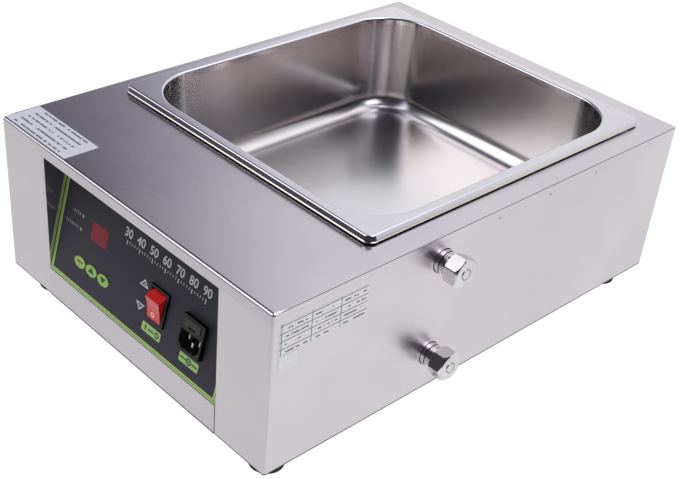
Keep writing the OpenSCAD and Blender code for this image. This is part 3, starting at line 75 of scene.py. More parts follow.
class Tap:
    """One socket in a tree of nodes. Sums and products of taps add their own Math nodes."""

    def __init__(self, tree, socket=None):
        self.tree = tree
        self.socket = socket

    def node(self, kind, settings=None, sockets=None, out=0):
        """Adds a node, sets it up, then fills or links its sockets."""
        made = self.tree.nodes.new(kind)
        for key, value in (settings or {}).items():
            if key == "stops":
                while len(made.color_ramp.elements) < len(value):
                    made.color_ramp.elements.new(1)
                for stop, (place, colour) in zip(made.color_ramp.elements, value):
                    stop.position = place
                    stop.color = colour
            else:
                setattr(made, key, value)
        for key, value in (sockets or {}).items():
            if isinstance(value, Tap):
                self.tree.links.new(value.socket, made.inputs[key])
            else:
                made.inputs[key].default_value = value
        return Tap(self.tree, made.outputs[out] if made.outputs else None)

    def also(self, out):
        """Another output of the same node."""
        return Tap(self.tree, self.socket.node.outputs[out])

    def math(self, operation, first, second=0.0):
        return self.node("ShaderNodeMath", {"operation": operation}, {0: first, 1: second})

    def __add__(self, other):
        return self.math("ADD", self, other)

    def __radd__(self, other):
        return self.math("ADD", other, self)

    def __sub__(self, other):
        return self.math("SUBTRACT", self, other)

    def __rsub__(self, other):
        return self.math("SUBTRACT", other, self)

    def __mul__(self, other):
        return self.math("MULTIPLY", self, other)

    def __rmul__(self, other):
        return self.math("MULTIPLY", other, self)

    def __truediv__(self, other):
        return self.math("DIVIDE", self, other)

    def ease(self, low, high):
        """0 below low, 1 above high and smooth between them."""
        return self.node(
            "ShaderNodeMapRange",
            {"interpolation_type": "SMOOTHSTEP"},
            {"Value": self, "From Min": low, "From Max": high},
        )

    def blend(self, first, second):
        """The first colour where this is 0, the second where it is 1."""
        return self.node("ShaderNodeMix", {"data_type": "RGBA"}, {0: self, 6: first, 7: second}, 2)


sky = bpy.data.worlds.new("studio")
sky.use_nodes = True
sky.node_tree.nodes.clear()
bpy.context.scene.world = sky
air = Tap(sky.node_tree)
way = air.node("ShaderNodeTexCoord", {}, {}, "Generated")
aside = air.node("ShaderNodeSeparateXYZ", {}, {0: way}, "X")
behind, above = aside.also("Y"), aside.also("Z")
bearing = behind / air.math("SQRT", 1.0001 - above * above)
back_light = bearing.ease(0.47, 0.75)
front_light = (0 - bearing).ease(0.2, 0.6) * (0 - aside).ease(0.0, 0.4) * above.ease(0.15, 0.29)
top_light = aside.ease(0.3, 0.5) * above.ease(0.6, 0.72) * bearing.ease(-0.4, -0.2)
left_side = air.math("MAXIMUM", 1 - bearing.ease(0.05, 0.32), 1 - above.ease(0.34, 0.46))
left_light = (0 - aside).ease(0.3, 0.7) * left_side * (1 - above.ease(0.5, 0.65)) * (1 - back_light)
left_light = left_light * (1 - 0.9 * (0 - bearing).ease(0.5, 0.7))
surround = (
    0.05
    + 0.4 * left_light * (1 - front_light)
    + 0.95 * back_light * (1 + 0.9 * above.ease(0.62, 0.85))
    + 1.9 * front_light
    + 3.0 * top_light * (1 - back_light)
)
shade = air.math("MAXIMUM", back_light, front_light + top_light).blend((0.84, 0.81, 1, 1), (1, 1, 1, 1))
seen = air.node("ShaderNodeLightPath", {}, {}, "Is Camera Ray")
mirrored = seen.also("Is Glossy Ray")
through = seen.also("Is Transmission Ray")
direct = air.math("MAXIMUM", seen, through)
tint = (mirrored * (1 - direct)).blend((1, 1, 1, 1), shade)
strength = direct + (1 - direct) * (mirrored * surround + (1 - mirrored) * 0.5)
air.node(
    "ShaderNodeOutputWorld",
    {},
    {"Surface": air.node("ShaderNodeBackground", {}, {"Color": tint, "Strength": strength})},
)

for name, place, size, power in (
    ("lamp_right", (1.5, -0.9, 1.9), 1.6, 14),
    ("lamp_left", (-1.2, -1.6, 1.6), 1.2, 18),
):
    lamp = bpy.data.objects.new(name, bpy.data.lights.new(name, "AREA"))
    lamp.data.size = size
    lamp.data.energy = power
    lamp.visible_glossy = False
    lamp.location = place
    lamp.rotation_euler = (Vector((0, 0, 0.08)) - Vector(place)).to_track_quat("-Z", "Y").to_euler()
    bpy.context.scene.collection.objects.link(lamp)


def clear():
    """Leaves edit mode and selects nothing, so that the next piece is worked on alone."""
    if bpy.context.object and bpy.context.object.mode != "OBJECT":
        bpy.ops.object.mode_set(mode="OBJECT")
    bpy.ops.object.select_all(action="DESELECT")


clear()
bpy.ops.mesh.primitive_grid_add(x_subdivisions=8, y_subdivisions=8, size=30, location=(0, 0, -0.0002))
floor = bpy.context.object
floor.name = "floor"


def finish(name):
    """A new material and the tap that its nodes hang on."""
    made = bpy.data.materials.new(name)
    made.use_nodes = True
    made.node_tree.nodes.clear()
    return made, Tap(made.node_tree)


def where(tap):
    """The place on a surface in metres: across, deep and high."""
    across = tap.node("ShaderNodeSeparateXYZ", {}, {0: tap.node("ShaderNodeTexCoord", {}, {}, "Object")})
    return across, across.also("Y"), across.also("Z")


def grain(tap, scale, detail=3.0, stretch=(1, 1, 1)):
    """Cloudy variation in the piece's own place, finer with a larger scale, drawn out by the stretch."""
    place = tap.node("ShaderNodeTexCoord", {}, {}, "Object")
    drawn = tap.node("ShaderNodeMapping", {}, {"Vector": place, "Scale": stretch})
    return tap.node("ShaderNodeTexNoise", {}, {"Vector": drawn, "Scale": scale, "Detail": detail})


# The casing's middle is 12.5 mm left of the frame's, and it stands on feet 20 mm high.
off_x, foot_h = 12.5, 20
floor_look, ground = finish("floor")
speck = grain(ground, 40.0, 2.0)
tone = speck.blend((0.84, 0.84, 0.84, 1), (0.87, 0.87, 0.87, 1))
lit = ground.node("ShaderNodeBsdfDiffuse", {}, {"Color": tone})
side, back = where(ground)[:2]
# Painted shadow and light in the floor's glow: for every ray but the camera's, it drops under and round the
# casing's footprint, fades towards the front and is raised to either side of the casing.
beside = ground.math("ABSOLUTE", side + off_x / 1000).ease(0.165, 0.185)
ahead = ground.math("ABSOLUTE", back).ease(0.23, 0.25)
floor_painted_light = (0.1 + 0.9 * ground.math("MAXIMUM", beside, ahead)) * (0.14 + 0.7 * back.ease(-1.1, -0.3))
floor_painted_light = floor_painted_light + 0.16 * beside * back.ease(-0.27, -0.23)
seen = ground.node("ShaderNodeLightPath", {}, {}, "Is Camera Ray")
level = seen * 1.08 + (1 - seen) * floor_painted_light
glow = ground.node("ShaderNodeEmission", {}, {"Color": (1, 1, 1, 1), "Strength": level})
ground.node(
    "ShaderNodeOutputMaterial",
    {},
    {"Surface": ground.node("ShaderNodeMixShader", {}, {0: 0.9, 1: lit, 2: glow})},
)
floor.data.materials.append(floor_look)


# Four feet of black rubber, moulded round with a softened lower edge and a well from below,
# each held by a screw through the base plate.
def spot(x, y, z):
    """A place in millimetres from the casing's middle and its bottom edge, in the frame's metres."""
    return Vector((x - off_x, y, z + foot_h)) / 1000


def hold(piece):
    """Selects a piece alone."""
    clear()
    piece.select_set(True)
    bpy.context.view_layer.objects.active = piece


def edit(piece):
    """Opens a piece in edit mode, alone."""
    hold(piece)
    bpy.ops.object.mode_set(mode="EDIT")


def pick(kind, keep):
    """Selects the corners, edges or faces of the open piece whose middle and direction the test keeps.
    The middle is in millimetres from the casing's middle and bottom edge."""
    bpy.ops.mesh.select_mode(type=kind)
    bpy.ops.mesh.select_all(action="DESELECT")
    shell = bmesh.from_edit_mesh(bpy.context.object.data)
    shell.normal_update()
    for part in {"VERT": shell.verts, "EDGE": shell.edges, "FACE": shell.faces}[kind]:
        if kind == "FACE":
            middle, way = part.calc_center_median(), part.normal
        elif kind == "EDGE":
            middle = (part.verts[0].co + part.verts[1].co) / 2
            way = (part.verts[1].co - part.verts[0].co).normalized()
        else:
            middle, way = part.co, part.normal
        x, y, z = middle * 1000
        if keep(Vector((x + off_x, y, z - foot_h)), way):
            part.select_set(True)
    shell.select_flush_mode()
    bmesh.update_edit_mesh(bpy.context.object.data)


def pull(x, y, z):
    """Extrudes what is selected, in millimetres."""
    bpy.ops.mesh.extrude_region_move(TRANSFORM_OT_translate={"value": (x / 1000, y / 1000, z / 1000)})


def step_in(thickness, depth=0.0):
    """Insets the selected face, and raises or sinks it, in millimetres."""
    bpy.ops.mesh.inset(thickness=thickness / 1000, depth=depth / 1000, use_even_offset=True)


def round_off(width, segments, affect="EDGES"):
    """Bevels what is selected, in millimetres."""
    bpy.ops.mesh.bevel(offset=width / 1000, segments=segments, profile=0.5, affect=affect)


def work(piece, kind, **settings):
    """Adds a modifier to a piece and applies it."""
    hold(piece)
    made = piece.modifiers.new(kind.lower(), kind)
    for key, value in settings.items():
        setattr(made, key, value)
    bpy.ops.object.modifier_apply(modifier=made.name)


def gather(pieces):
    """Joins pieces into the first one."""
    clear()
    for piece in pieces:
        piece.select_set(True)
    bpy.context.view_layer.objects.active = pieces[0]
    bpy.ops.object.join()
    return pieces[0]


def twin(piece):
    """A copy of a piece with a mesh of its own."""
    made = piece.copy()
    made.data = piece.data.copy()
    bpy.context.scene.collection.objects.link(made)
    return made


def settle(piece, name, body, slot, looks, *stands_for, angle=32):
    """Smooths a finished piece, gives it its finish, and hangs it on its body."""
    hold(piece)
    bpy.ops.object.transform_apply(location=True, rotation=True, scale=True)
    bpy.ops.object.shade_smooth_by_angle(angle=math.radians(angle))
    work(piece, "WEIGHTED_NORMAL", mode="FACE_AREA", weight=100, keep_sharp=True)
    piece.name = piece.data.name = name
    for look in looks if isinstance(looks, list) else [looks]:
        piece.data.materials.append(look)
    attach(piece, body)
    if stands_for:
        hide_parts(*stands_for)
    return piece


def coat(tap, **sockets):
    """Ends a material in its shader. Names are the shader's sockets, with _ for a space."""
    values = {key.replace("_", " "): value for key, value in sockets.items()}
    tap.node(
        "ShaderNodeOutputMaterial", {}, {"Surface": tap.node("ShaderNodeBsdfPrincipled", {}, values)}
    )


def dent(tap, height, distance, strength=1.0):
    """A bump of the given height in metres."""
    return tap.node("ShaderNodeBump", {}, {"Height": height, "Distance": distance, "Strength": strength})


rubber, tap = finish("foot_rubber")
mould = grain(tap, 900.0, 2.0)
dust = grain(tap, 60.0, 4.0)
coat(
    tap,
    Base_Color=dust.ease(0.45, 0.75).blend(paint(22, 22, 23), paint(40, 39, 38)),
    Roughness=0.62 + 0.2 * dust,
    Normal=dent(tap, mould, 0.0002, 0.5),
)
foot_x, foot_y, foot_r, foot_rim, well_depth = 155, 220.5, 15, 9, 11
clear()
bpy.ops.mesh.primitive_cylinder_add(
    vertices=48, radius=foot_r / 1000, depth=foot_h / 1000, location=spot(-foot_x, -foot_y, -foot_h / 2)
)
foot = bpy.context.object
bpy.ops.object.transform_apply(location=True)
edit(foot)
pick("FACE", lambda at, way: way.z < -0.9)
step_in(foot_rim)
pull(0, 0, well_depth)


def on_foot_edge(at, z):
    """True on the foot's outer edge at one height."""
    return abs(at.z - z) < 0.1 and math.hypot(at.x + foot_x, at.y + foot_y) > foot_r - 0.5


for z, width in ((-foot_h, 1.5), (0, 0.5)):
    pick("EDGE", lambda at, way: on_foot_edge(at, z))
    round_off(width, 3)
clear()
feet = [foot]
for x, y in ((2 * foot_x, 0), (0, 2 * foot_y), (2 * foot_x, 2 * foot_y)):
    feet.append(twin(foot))
    feet[-1].location += Vector((x, y, 0)) / 1000
settle(gather(feet), "rubber_feet", "casing", "foot_rubber", rubber, "feet")


# The base plate is a flat sheet of stainless with two rows of vent slots, screwed up into the
# turned-in bottom flange. Its screws, the foot screws and their nuts are zinc-plated steel.
def dress(look, *names):
    """Gives CAD pieces that keep their shape a finish."""
    for name in names:
        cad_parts[name].data.materials.clear()
        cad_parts[name].data.materials.append(look)


ALONG_X, ALONG_Y, ALONG_Z = (14, 1900, 1900), (1900, 14, 1900), (1900, 1900, 14)
underside, tap = finish("underside_stainless")
hair = grain(tap, 1.0, 4.0, ALONG_X)
cloud = grain(tap, 7.0)
coat(
    tap,
    Base_Color=(hair * 0.5 + cloud * 0.5).ease(0.3, 0.7).blend(paint(194, 191, 194), paint(205, 202, 205)),
    Metallic=1.0,
    Roughness=0.32 + 0.08 * hair + 0.05 * cloud,
    Normal=dent(tap, hair, 0.000006, 0.25),
)
dress(underside, "base_plate")


def mottled(name, low, high, rough, vary, bump=None,
            span=(0.3, 0.7), scale=1.0, detail=3.0, stretch=(1, 1, 1), **more):
    """A finish that wanders between two colours. Roughness and bump follow the same grain."""
    made, tap = finish(name)
    mottle = grain(tap, scale, detail, stretch)
    if bump:
        more["Normal"] = dent(tap, mottle, *bump)
    colour = mottle.ease(*span).blend(paint(*low), paint(*high))
    coat(tap, Base_Color=colour, Roughness=rough + vary * mottle, **more)
    return made


zinc = mottled(
    "zinc_plate", (196, 197, 200), (214, 212, 204), rough=0.24, vary=0.18, bump=(0.00004, 0.4),
    span=(0.35, 0.7), scale=220.0, Metallic=1.0,
)
dress(zinc, "base_screws", "foot_screws", "foot_nuts")
dress(zinc, "board_standoffs", "board_screws", "power_standoffs", "power_screws")


# The water tank under the deck is a welded tub of dull stainless. Lime from the water clouds it.
# The element's two saddle strips on its floor are of the same sheet.
tank_steel, tap = finish("tank_stainless")
hair = grain(tap, 1.0, 3.0, ALONG_Z)
lime = grain(tap, 18.0, 5.0)
coat(
    tap,
    Base_Color=lime.ease(0.48, 0.72).blend(paint(176, 173, 170), paint(206, 203, 196)),
    Metallic=1 - 0.25 * lime.ease(0.55, 0.8),
    Roughness=0.3 + 0.1 * hair + 0.2 * lime.ease(0.45, 0.75),
    Normal=dent(tap, hair, 0.00003, 0.3),
)
dress(tank_steel, "water_tank", "heater_supports")


# The heating element is a bent tube with a heat-darkened steel sheath. Its end pins, the switch tabs and
# the earth stud are brass, and its glands, the probe and their nuts are turned steel.
sheath = mottled(
    "element_sheath", (66, 62, 60), (104, 92, 82), rough=0.42, vary=0.25, bump=(0.00008, 0.5),
    span=(0.35, 0.7), scale=90.0, detail=5.0, Metallic=0.85,
)
dress(sheath, "heating_element")
brass = mottled(
    "terminal_brass", (206, 172, 96), (168, 130, 66), rough=0.24, vary=0.22, bump=(0.00003, 0.4),
    span=(0.4, 0.75), scale=160.0, detail=4.0, Metallic=1.0,
)
dress(brass, "heater_terminals", "switch_terminals", "earth_stud")
turned = mottled(
    "turned_steel", (192, 190, 188), (216, 214, 212), rough=0.2, vary=0.14, bump=(0.00003, 0.4),
    stretch=(60, 2400, 60), Metallic=1.0,
)
dress(turned, "heater_glands", "heater_nuts", "temperature_probe", "probe_gland", "probe_nut")
dress(turned, "cutout_bracket")


# Sealing washers and cap seals are punched from red silicone.
# The over-temperature cut-out is a small moulded disc body, clamped to the tank's wall by its bracket.
silicone = mottled(
    "silicone", (150, 52, 40), (172, 74, 58), rough=0.5, vary=0.2, bump=(0.00005, 0.5),
    span=(0.3, 0.75), scale=300.0,
)
dress(silicone, "heater_washers", "exhaust_seal", "drain_seal")
bakelite = mottled(
    "cutout_body", (38, 36, 35), (54, 50, 47), rough=0.45, vary=0.2, bump=(0.00006, 0.5),
    span=(0.3, 0.75), scale=420.0,
)
dress(bakelite, "thermal_cutout", "key_switches", "display_module")


# Both circuit boards are green-lacquered glass laminate. Their copper tracks show through the lacquer,
# and screws hold them on standoffs.
laminate, tap = finish("circuit_board")
tracks = tap.node(
    "ShaderNodeTexBrick",
    {"offset": 0.5, "squash": 1.0},
    {
        "Vector": tap.node("ShaderNodeTexCoord", {}, {}, "Object"),
        "Scale": 130.0,
        "Color1": (1, 1, 1, 1),
        "Color2": (0.6, 0.6, 0.6, 1),
        "Mortar": (0, 0, 0, 1),
        "Mortar Size": 0.08,
    },
    "Fac",
)
cloud = grain(tap, 120.0)
coat(
    tap,
    Base_Color=(tracks * 0.8 + cloud * 0.3).ease(0.2, 0.9).blend(paint(22, 74, 44), paint(58, 116, 66)),
    Roughness=0.3 + 0.2 * cloud,
    Normal=dent(tap, tracks, 0.00005, 0.5),
)
dress(laminate, "control_board", "power_board")


# On the power board stand a varnished transformer and a blue relay. Beside it, on the base plate,
# is a white moulded terminal block.
core, tap = finish("transformer_core")
plates = tap.node(
    "ShaderNodeTexWave",
    {"wave_type": "BANDS", "bands_direction": "X"},
    {"Vector": tap.node("ShaderNodeTexCoord", {}, {}, "Object"), "Scale": 320.0, "Distortion": 0.4},
    "Fac",
)
coat(
    tap,
    Base_Color=plates.ease(0.2, 0.8).blend(paint(44, 42, 44), paint(74, 70, 66)),
    Metallic=0.5,
    Roughness=0.42 + 0.2 * plates,
    Normal=dent(tap, plates, 0.0001, 0.6),
)
dress(core, "transformer")
for name, low, high, owner in (
    ("relay_blue", (26, 66, 140), (38, 84, 164), "relay"),
    ("block_white", (222, 220, 212), (236, 234, 228), "terminal_block"),
):
    dress(mottled(name, low, high, rough=0.36, vary=0.16, bump=(0.00004, 0.4), scale=240.0), owner)


# The wires are stranded copper in soft plastic: brown for live, blue for neutral, and green with
# yellow stripes for earth.
for name, low, high, owner in (
    ("wire_brown", (84, 48, 26), (104, 62, 36), "live_wires"),
    ("wire_blue", (30, 62, 138), (44, 80, 160), "neutral_wires"),
    ("wire_green", (70, 128, 40), (206, 196, 52), "earth_wire"),
):
    cover, tap = finish(name)
    if owner == "earth_wire":
        stripes = tap.node(
            "ShaderNodeTexWave",
            {"wave_type": "BANDS", "bands_direction": "DIAGONAL"},
            {"Vector": tap.node("ShaderNodeTexCoord", {}, {}, "Object"), "Scale": 70.0},
            "Fac",
        )
        mark = stripes.ease(0.55, 0.6)
    else:
        mark = grain(tap, 200.0).ease(0.3, 0.7)
    bloom = grain(tap, 500.0, 2.0)
    coat(
        tap,
        Base_Color=mark.blend(paint(*low), paint(*high)),
        Roughness=0.4 + 0.15 * bloom,
        Normal=dent(tap, bloom, 0.00003, 0.4),
    )
    dress(cover, owner)


# The casing is one stainless sheet, 1 mm thick, folded round the sides and back and in again at the
# front as two jambs and the cheeks of the control recess. A bottom flange takes the base screws.
casing_w, casing_d, wall_top, sheet_t = 364, 495, 152, 1.0
corner_r, lip_low, flange_w, flange_top = 2.5, 142, 14, 2
cheeks_x, cheek_depth = (-117.5, 120.5), 38
pipe_y, exhaust_z, drain_z, pipe_hole_r = -70, 128.7, 36.2, 11.1
half_w, half_d = casing_w / 2, casing_d / 2
front_y = 0.1 - (half_d - corner_r)


def drop():
    """Deletes the selected faces."""
    bpy.ops.mesh.delete(type="FACE")


def trim(piece, cutter, operation="DIFFERENCE"):
    """Cuts a piece with another, which is then thrown away."""
    work(piece, "BOOLEAN", object=cutter, operation=operation, solver="EXACT")
    bpy.data.objects.remove(cutter)


def block(x, y, z, width, depth, height):
    """An upright block, in millimetres, by its middle."""
    clear()
    bpy.ops.mesh.primitive_cube_add(
        size=1, location=spot(x, y, z), scale=(width / 1000, depth / 1000, height / 1000)
    )
    bpy.ops.object.transform_apply(location=True, scale=True)
    return bpy.context.object


def rod(x, y, z, radius, length, sides):
    """A round or many-sided bar that lies from left to right, in millimetres, by its middle."""
    clear()
    bpy.ops.mesh.primitive_cylinder_add(
        vertices=sides, radius=radius / 1000, depth=length / 1000, location=spot(x, y, z),
        rotation=(0, math.pi / 2, 0),
    )
    bpy.ops.object.transform_apply(location=True, rotation=True)
    return bpy.context.object


def flat(place, width, depth):
    """A level sheet, in millimetres, by its middle's place in the frame."""
    clear()
    bpy.ops.mesh.primitive_plane_add(size=1, location=place)
    made = bpy.context.object
    made.scale = (width / 1000, depth / 1000, 1)
    bpy.ops.object.transform_apply(location=True, scale=True)
    return made


def round_corners(sheet, radius, segments):
    """Opens a level sheet in edit mode and rounds its corners, in millimetres."""
    edit(sheet)
    pick("VERT", lambda at, way: True)
    round_off(radius, segments, "VERTICES")


def upright(at, way):
    """True on an edge that stands up."""
    return abs(way.z) > 0.9


def on_jamb_edge(at, way):
    """True on the two upright edges where the front jambs end at the control recess."""
    return at.y < 0.5 - half_d and abs(way.z) > 0.9 and min(abs(at.x - x) for x in cheeks_x) < 0.1


def on_bottom_edge(at, way):
    """True on the outer edge at the bottom, round the corners too."""
    past_x = max(abs(at.x) - half_w + corner_r, 0)
    past_y = max(abs(at.y) - half_d + corner_r, 0)
    return at.z < 0.05 and math.hypot(past_x, past_y) > corner_r - 0.3


wrap = block(0, 0, wall_top / 2, casing_w, casing_d, wall_top)
edit(wrap)
pick("FACE", lambda at, way: abs(way.z) > 0.9)
drop()
pick("EDGE", upright)
round_off(corner_r, 5)
for x in cheeks_x:
    pick("FACE", lambda at, way: way.y < -0.9)
    bpy.ops.mesh.bisect(plane_co=spot(x, 0, 0), plane_no=(1, 0, 0))
pick("FACE", lambda at, way: at.y < front_y)
bpy.ops.mesh.bisect(plane_co=spot(0, 0, lip_low), plane_no=(0, 0, 1))
pick("FACE", lambda at, way: at.y < front_y and at.z > lip_low)
drop()
pick("FACE", lambda at, way: way.y < -0.9 and cheeks_x[0] < at.x < cheeks_x[1])
drop()
pick("EDGE", on_jamb_edge)
pull(0, cheek_depth, 0)
pick("EDGE", on_jamb_edge)
round_off(1.4, 4)
bpy.ops.mesh.select_all(action="SELECT")
bpy.ops.mesh.normals_make_consistent(inside=False)
clear()
work(wrap, "SOLIDIFY", thickness=sheet_t / 1000, offset=-1, use_even_offset=True)
for z in (exhaust_z, drain_z):
    trim(wrap, rod(half_w - sheet_t, pipe_y, z, pipe_hole_r, 20, 64))
flange = flat(spot(0, 0, flange_top), casing_w - 2 * sheet_t, casing_d - 2 * sheet_t)
edit(flange)
pick("FACE", lambda at, way: True)
step_in(flange_w)
drop()
clear()
work(flange, "SOLIDIFY", thickness=sheet_t / 1000, offset=-1)
gather([wrap, flange])
edit(wrap)
pick("EDGE", on_bottom_edge)
round_off(0.8, 3)
clear()

casing_steel, tap = finish("casing_stainless")
across, deep, high = where(tap)
hair = grain(tap, 1.0, 4.0, ALONG_Y)
cloud = grain(tap, 5.0)
# The seam line under the right side's top edge and the rings round three spot-weld dimples are pressed in
# by the bump, and their tone is darkened as painted shade. The weld rings are also painted dark grey, as
# painted shade of the dimples.
seam_shade = 1 - tap.math("ABSOLUTE", high - 0.1672).ease(0.0002, 0.0007)
weld_dimples_and_shade = None
for y in (-0.004, 0.0615, 0.1255):
    gap = tap.math("SQRT", (deep - y) * (deep - y) + (high - 0.1642) * (high - 0.1642))
    ring = 1 - tap.math("ABSOLUTE", gap - 0.0011).ease(0.0001, 0.0008)
    weld_dimples_and_shade = ring if weld_dimples_and_shade is None else weld_dimples_and_shade + ring
on_right = across.ease(0.16, 0.165)
mark = (seam_shade * 0.45 + weld_dimples_and_shade) * on_right
cheeks = 1 - tap.math("ABSOLUTE", tap.math("ABSOLUTE", across + 0.011) - 0.119).ease(0.0006, 0.0012)
# Painted shade: the lowest millimetre of the sheet is painted near black. It stands in for the shade under
# the casing that the bottom edge turns towards.
bottom_edge_shade = 1 - high.ease(0.0213, 0.0221)
tone = (hair * 0.2 + cloud * 0.8 - 0.35 * mark).ease(0.25, 0.7)
sheet = tone.blend(paint(201, 196, 201), paint(215, 210, 215))
coat(
    tap,
    Base_Color=tap.math("MAXIMUM", bottom_edge_shade * 0.9, 0.45 * weld_dimples_and_shade * on_right).blend(sheet, paint(44, 43, 45)),
    Metallic=1.0,
    Roughness=0.27 - 0.14 * cheeks + 0.04 * hair + 0.04 * cloud,
    Normal=dent(tap, hair * 0.06 - mark, 0.00018, 0.5),
)
settle(wrap, "casing", "casing", "brushed_stainless", casing_steel, "casing_wrap")


# The control fascia is a second sheet between the jambs: an upright apron, then the panel leaning back,
# then a flange under the deck. It keeps its CAD shape. Its grain runs across.
front_steel, tap = finish("front_stainless")
high = where(tap)[2]
hair = grain(tap, 1.0, 4.0, ALONG_X)
cloud = grain(tap, 7.0)
# Painted shade: the apron's lowest millimetre is painted near black, as the dark line along its bottom
# edge.
bottom_edge_shade = 1 - high.ease(0.0209, 0.0218)
sheet = (hair * 0.5 + cloud * 0.5).ease(0.3, 0.7).blend(paint(202, 197, 203), paint(214, 209, 215))
coat(
    tap,
    Base_Color=(bottom_edge_shade * 0.95).blend(sheet, paint(36, 35, 37)),
    Metallic=1.0,
    Roughness=0.29 + 0.08 * hair + 0.05 * cloud,
    Normal=dent(tap, hair, 0.000006, 0.25),
)
dress(front_steel, "control_fascia")


# The overlay is a dark printed film stuck on the leaning panel. Round its sides and foot runs a
# two-tone green border, printed on the film and modelled as a skin on it.
lean = math.radians(14.8)
PANEL = Matrix.Translation(spot(0, -246.7, 29)) @ Matrix.Rotation(math.pi / 2 - lean, 4, "X")


def lay(piece):
    """Puts a piece that was made flat, in the panel's own millimetres, onto the leaning panel."""
    hold(piece)
    piece.matrix_world = PANEL @ piece.matrix_world
    bpy.ops.object.transform_apply(location=True, rotation=True, scale=True)
    return piece


film, tap = finish("overlay_film")
sand = grain(tap, 1500.0, 2.0)
cloud = grain(tap, 9.0)
rise = where(tap)[2]
# Painted reflection: the film is painted lighter and purplish towards its foot and darker towards its top.
coat(
    tap,
    Base_Color=(rise.ease(0.05, 0.165) * 0.8 + cloud * 0.2).blend(paint(46, 43, 56), paint(34, 34, 38)),
    Roughness=0.4 + 0.12 * sand,
    Specular_IOR_Level=0.25,
    Normal=dent(tap, sand, 0.00003, 0.4),
)
dress(film, "panel_overlay")


def plate(x, t, width, height, n):
    """A flat rectangle on the panel, in its millimetres: place across and up, size, height off it."""
    return flat((x / 1000, t / 1000, n / 1000), width, height)


def on_skin(kind, keep):
    """As pick, for a piece still flat in the panel's own millimetres."""
    pick(kind, lambda at, way: keep(Vector((at.x - off_x, at.y, at.z + foot_h)), way))


def ink(name, low, high, rough=0.37, **more):
    """A printed or moulded colour with a slight mottle."""
    return mottled(name, low, high, rough=rough, vary=0.1, bump=(0.00002, 0.3), scale=420.0, **more)


green_light = ink("border_light_green", (146, 178, 98), (156, 188, 110))
green_dark = ink("border_dark_green", (104, 142, 62), (114, 152, 72))
film_x, film_low, film_w, film_top = 1.5, 0.6, 236.4, 116.5
bands = (1.1, 1.0, 1.5)
# The border is drawn as a closed frame that stands higher than the film, and is cut off at the film's top.
frame_h = 140
border = plate(film_x, film_low + frame_h / 2, film_w, frame_h, 0.53)
edit(border)
on_skin("FACE", lambda at, way: True)
for band in bands:
    step_in(band)
drop()
on_skin("FACE", lambda at, way: at.y > frame_h - 10)
drop()
on_skin("FACE", lambda at, way: True)
bpy.ops.mesh.bisect(plane_co=(0, film_top / 1000, 0), plane_no=(0, 1, 0), clear_outer=True)
clear()
lay(border)
settle(border, "green_border", "casing", "overlay_print", [green_light, green_dark])
for face in border.data.polygons:
    x, t, n = (PANEL.inverted() @ face.center) * 1000
    inset = min(film_w / 2 - abs(x - film_x), t - film_low)
    face.material_index = 1 if bands[0] < inset < bands[0] + bands[1] else 0


# Printed marks on the film: two green tags under the switch and the inlet, a pair of pale triangles
# beside the switch, a plain temperature scale along the top, and short bars beside the lamps.
pale = ink("pale_print", (172, 172, 176), (188, 188, 192))
faint = ink("faint_print", (104, 104, 110), (120, 120, 126))
tag_green = ink("tag_green", (134, 172, 96), (146, 184, 108))
dark_print = ink("dark_print", (24, 40, 18), (34, 52, 26))


def flat_ring(x, t, radius, width, n, sides=40):
    """A flat ring on the panel, or a disc if the width is the radius."""
    clear()
    bpy.ops.mesh.primitive_circle_add(
        vertices=sides, radius=radius / 1000, fill_type="NGON", location=(x / 1000, t / 1000, n / 1000)
    )
    made = bpy.context.object
    bpy.ops.object.transform_apply(location=True)
    if width < radius:
        edit(made)
        on_skin("FACE", lambda at, way: True)
        step_in(width)
        drop()
        clear()
    return made


def triangle(x, t, width, height, n):
    """A flat triangle on the panel, with its base's middle at x and t. A height below 0 points it down."""
    made = plate(x, t + height / 2, width, abs(height), n)
    edit(made)
    on_skin("EDGE", lambda at, way: (at.y - t) * height > 0 and abs(at.y - t - height) < 0.1)
    bpy.ops.mesh.merge(type="CENTER")
    clear()
    return made


def number(words, x, t, height, n):
    """A plain printed number, centred."""
    clear()
    bpy.ops.object.text_add(location=(0, 0, 0))
    made = bpy.context.object
    made.data.body = words
    made.data.size = height / 1000 * 1.42
    made.data.offset = height / 1000 * 0.02
    made.data.align_x = "CENTER"
    made.data.align_y = "CENTER"
    bpy.ops.object.convert(target="MESH")
    made = bpy.context.object
    made.location = (x / 1000, t / 1000, n / 1000)
    bpy.ops.object.transform_apply(location=True)
    return made


ink_n = 0.54
sign_x, first_x, pitch = 10.2, -22, 17.5
marks = []
for t, height in ((47.8, 6.8), (32.7, -6.9)):
    sign = triangle(sign_x, t, 12.2, height, ink_n)
    edit(sign)
    on_skin("FACE", lambda at, way: True)
    step_in(1.25)
    drop()
    clear()
    marks += [sign, flat_ring(sign_x, t + height * 0.36, 0.8, 0.8, ink_n, 16)]
for place, value in enumerate((30, 40, 50, 60, 70, 80, 90)):
    x = first_x + place * pitch
    marks.append(number(str(value), x, 80.6, 7.8, ink_n))
    marks.append(plate(x, 72.6, 1.0, 4.0, ink_n))
    if value < 90:
        for part in (1, 2, 3, 4):
            marks.append(plate(x + part * pitch / 5, 73.4, 0.6, 2.4, ink_n))
settle(lay(gather(marks)), "panel_marks", "casing", "overlay_print", pale)

levels = []
for t, count in ((66.4, 4), (54.0, 7)):
    for bar in range(count):
        levels.append(plate(-90 - bar * 2.8, t, 1.3, 2.8, ink_n))
settle(lay(gather(levels)), "lamp_marks", "casing", "overlay_print", faint)

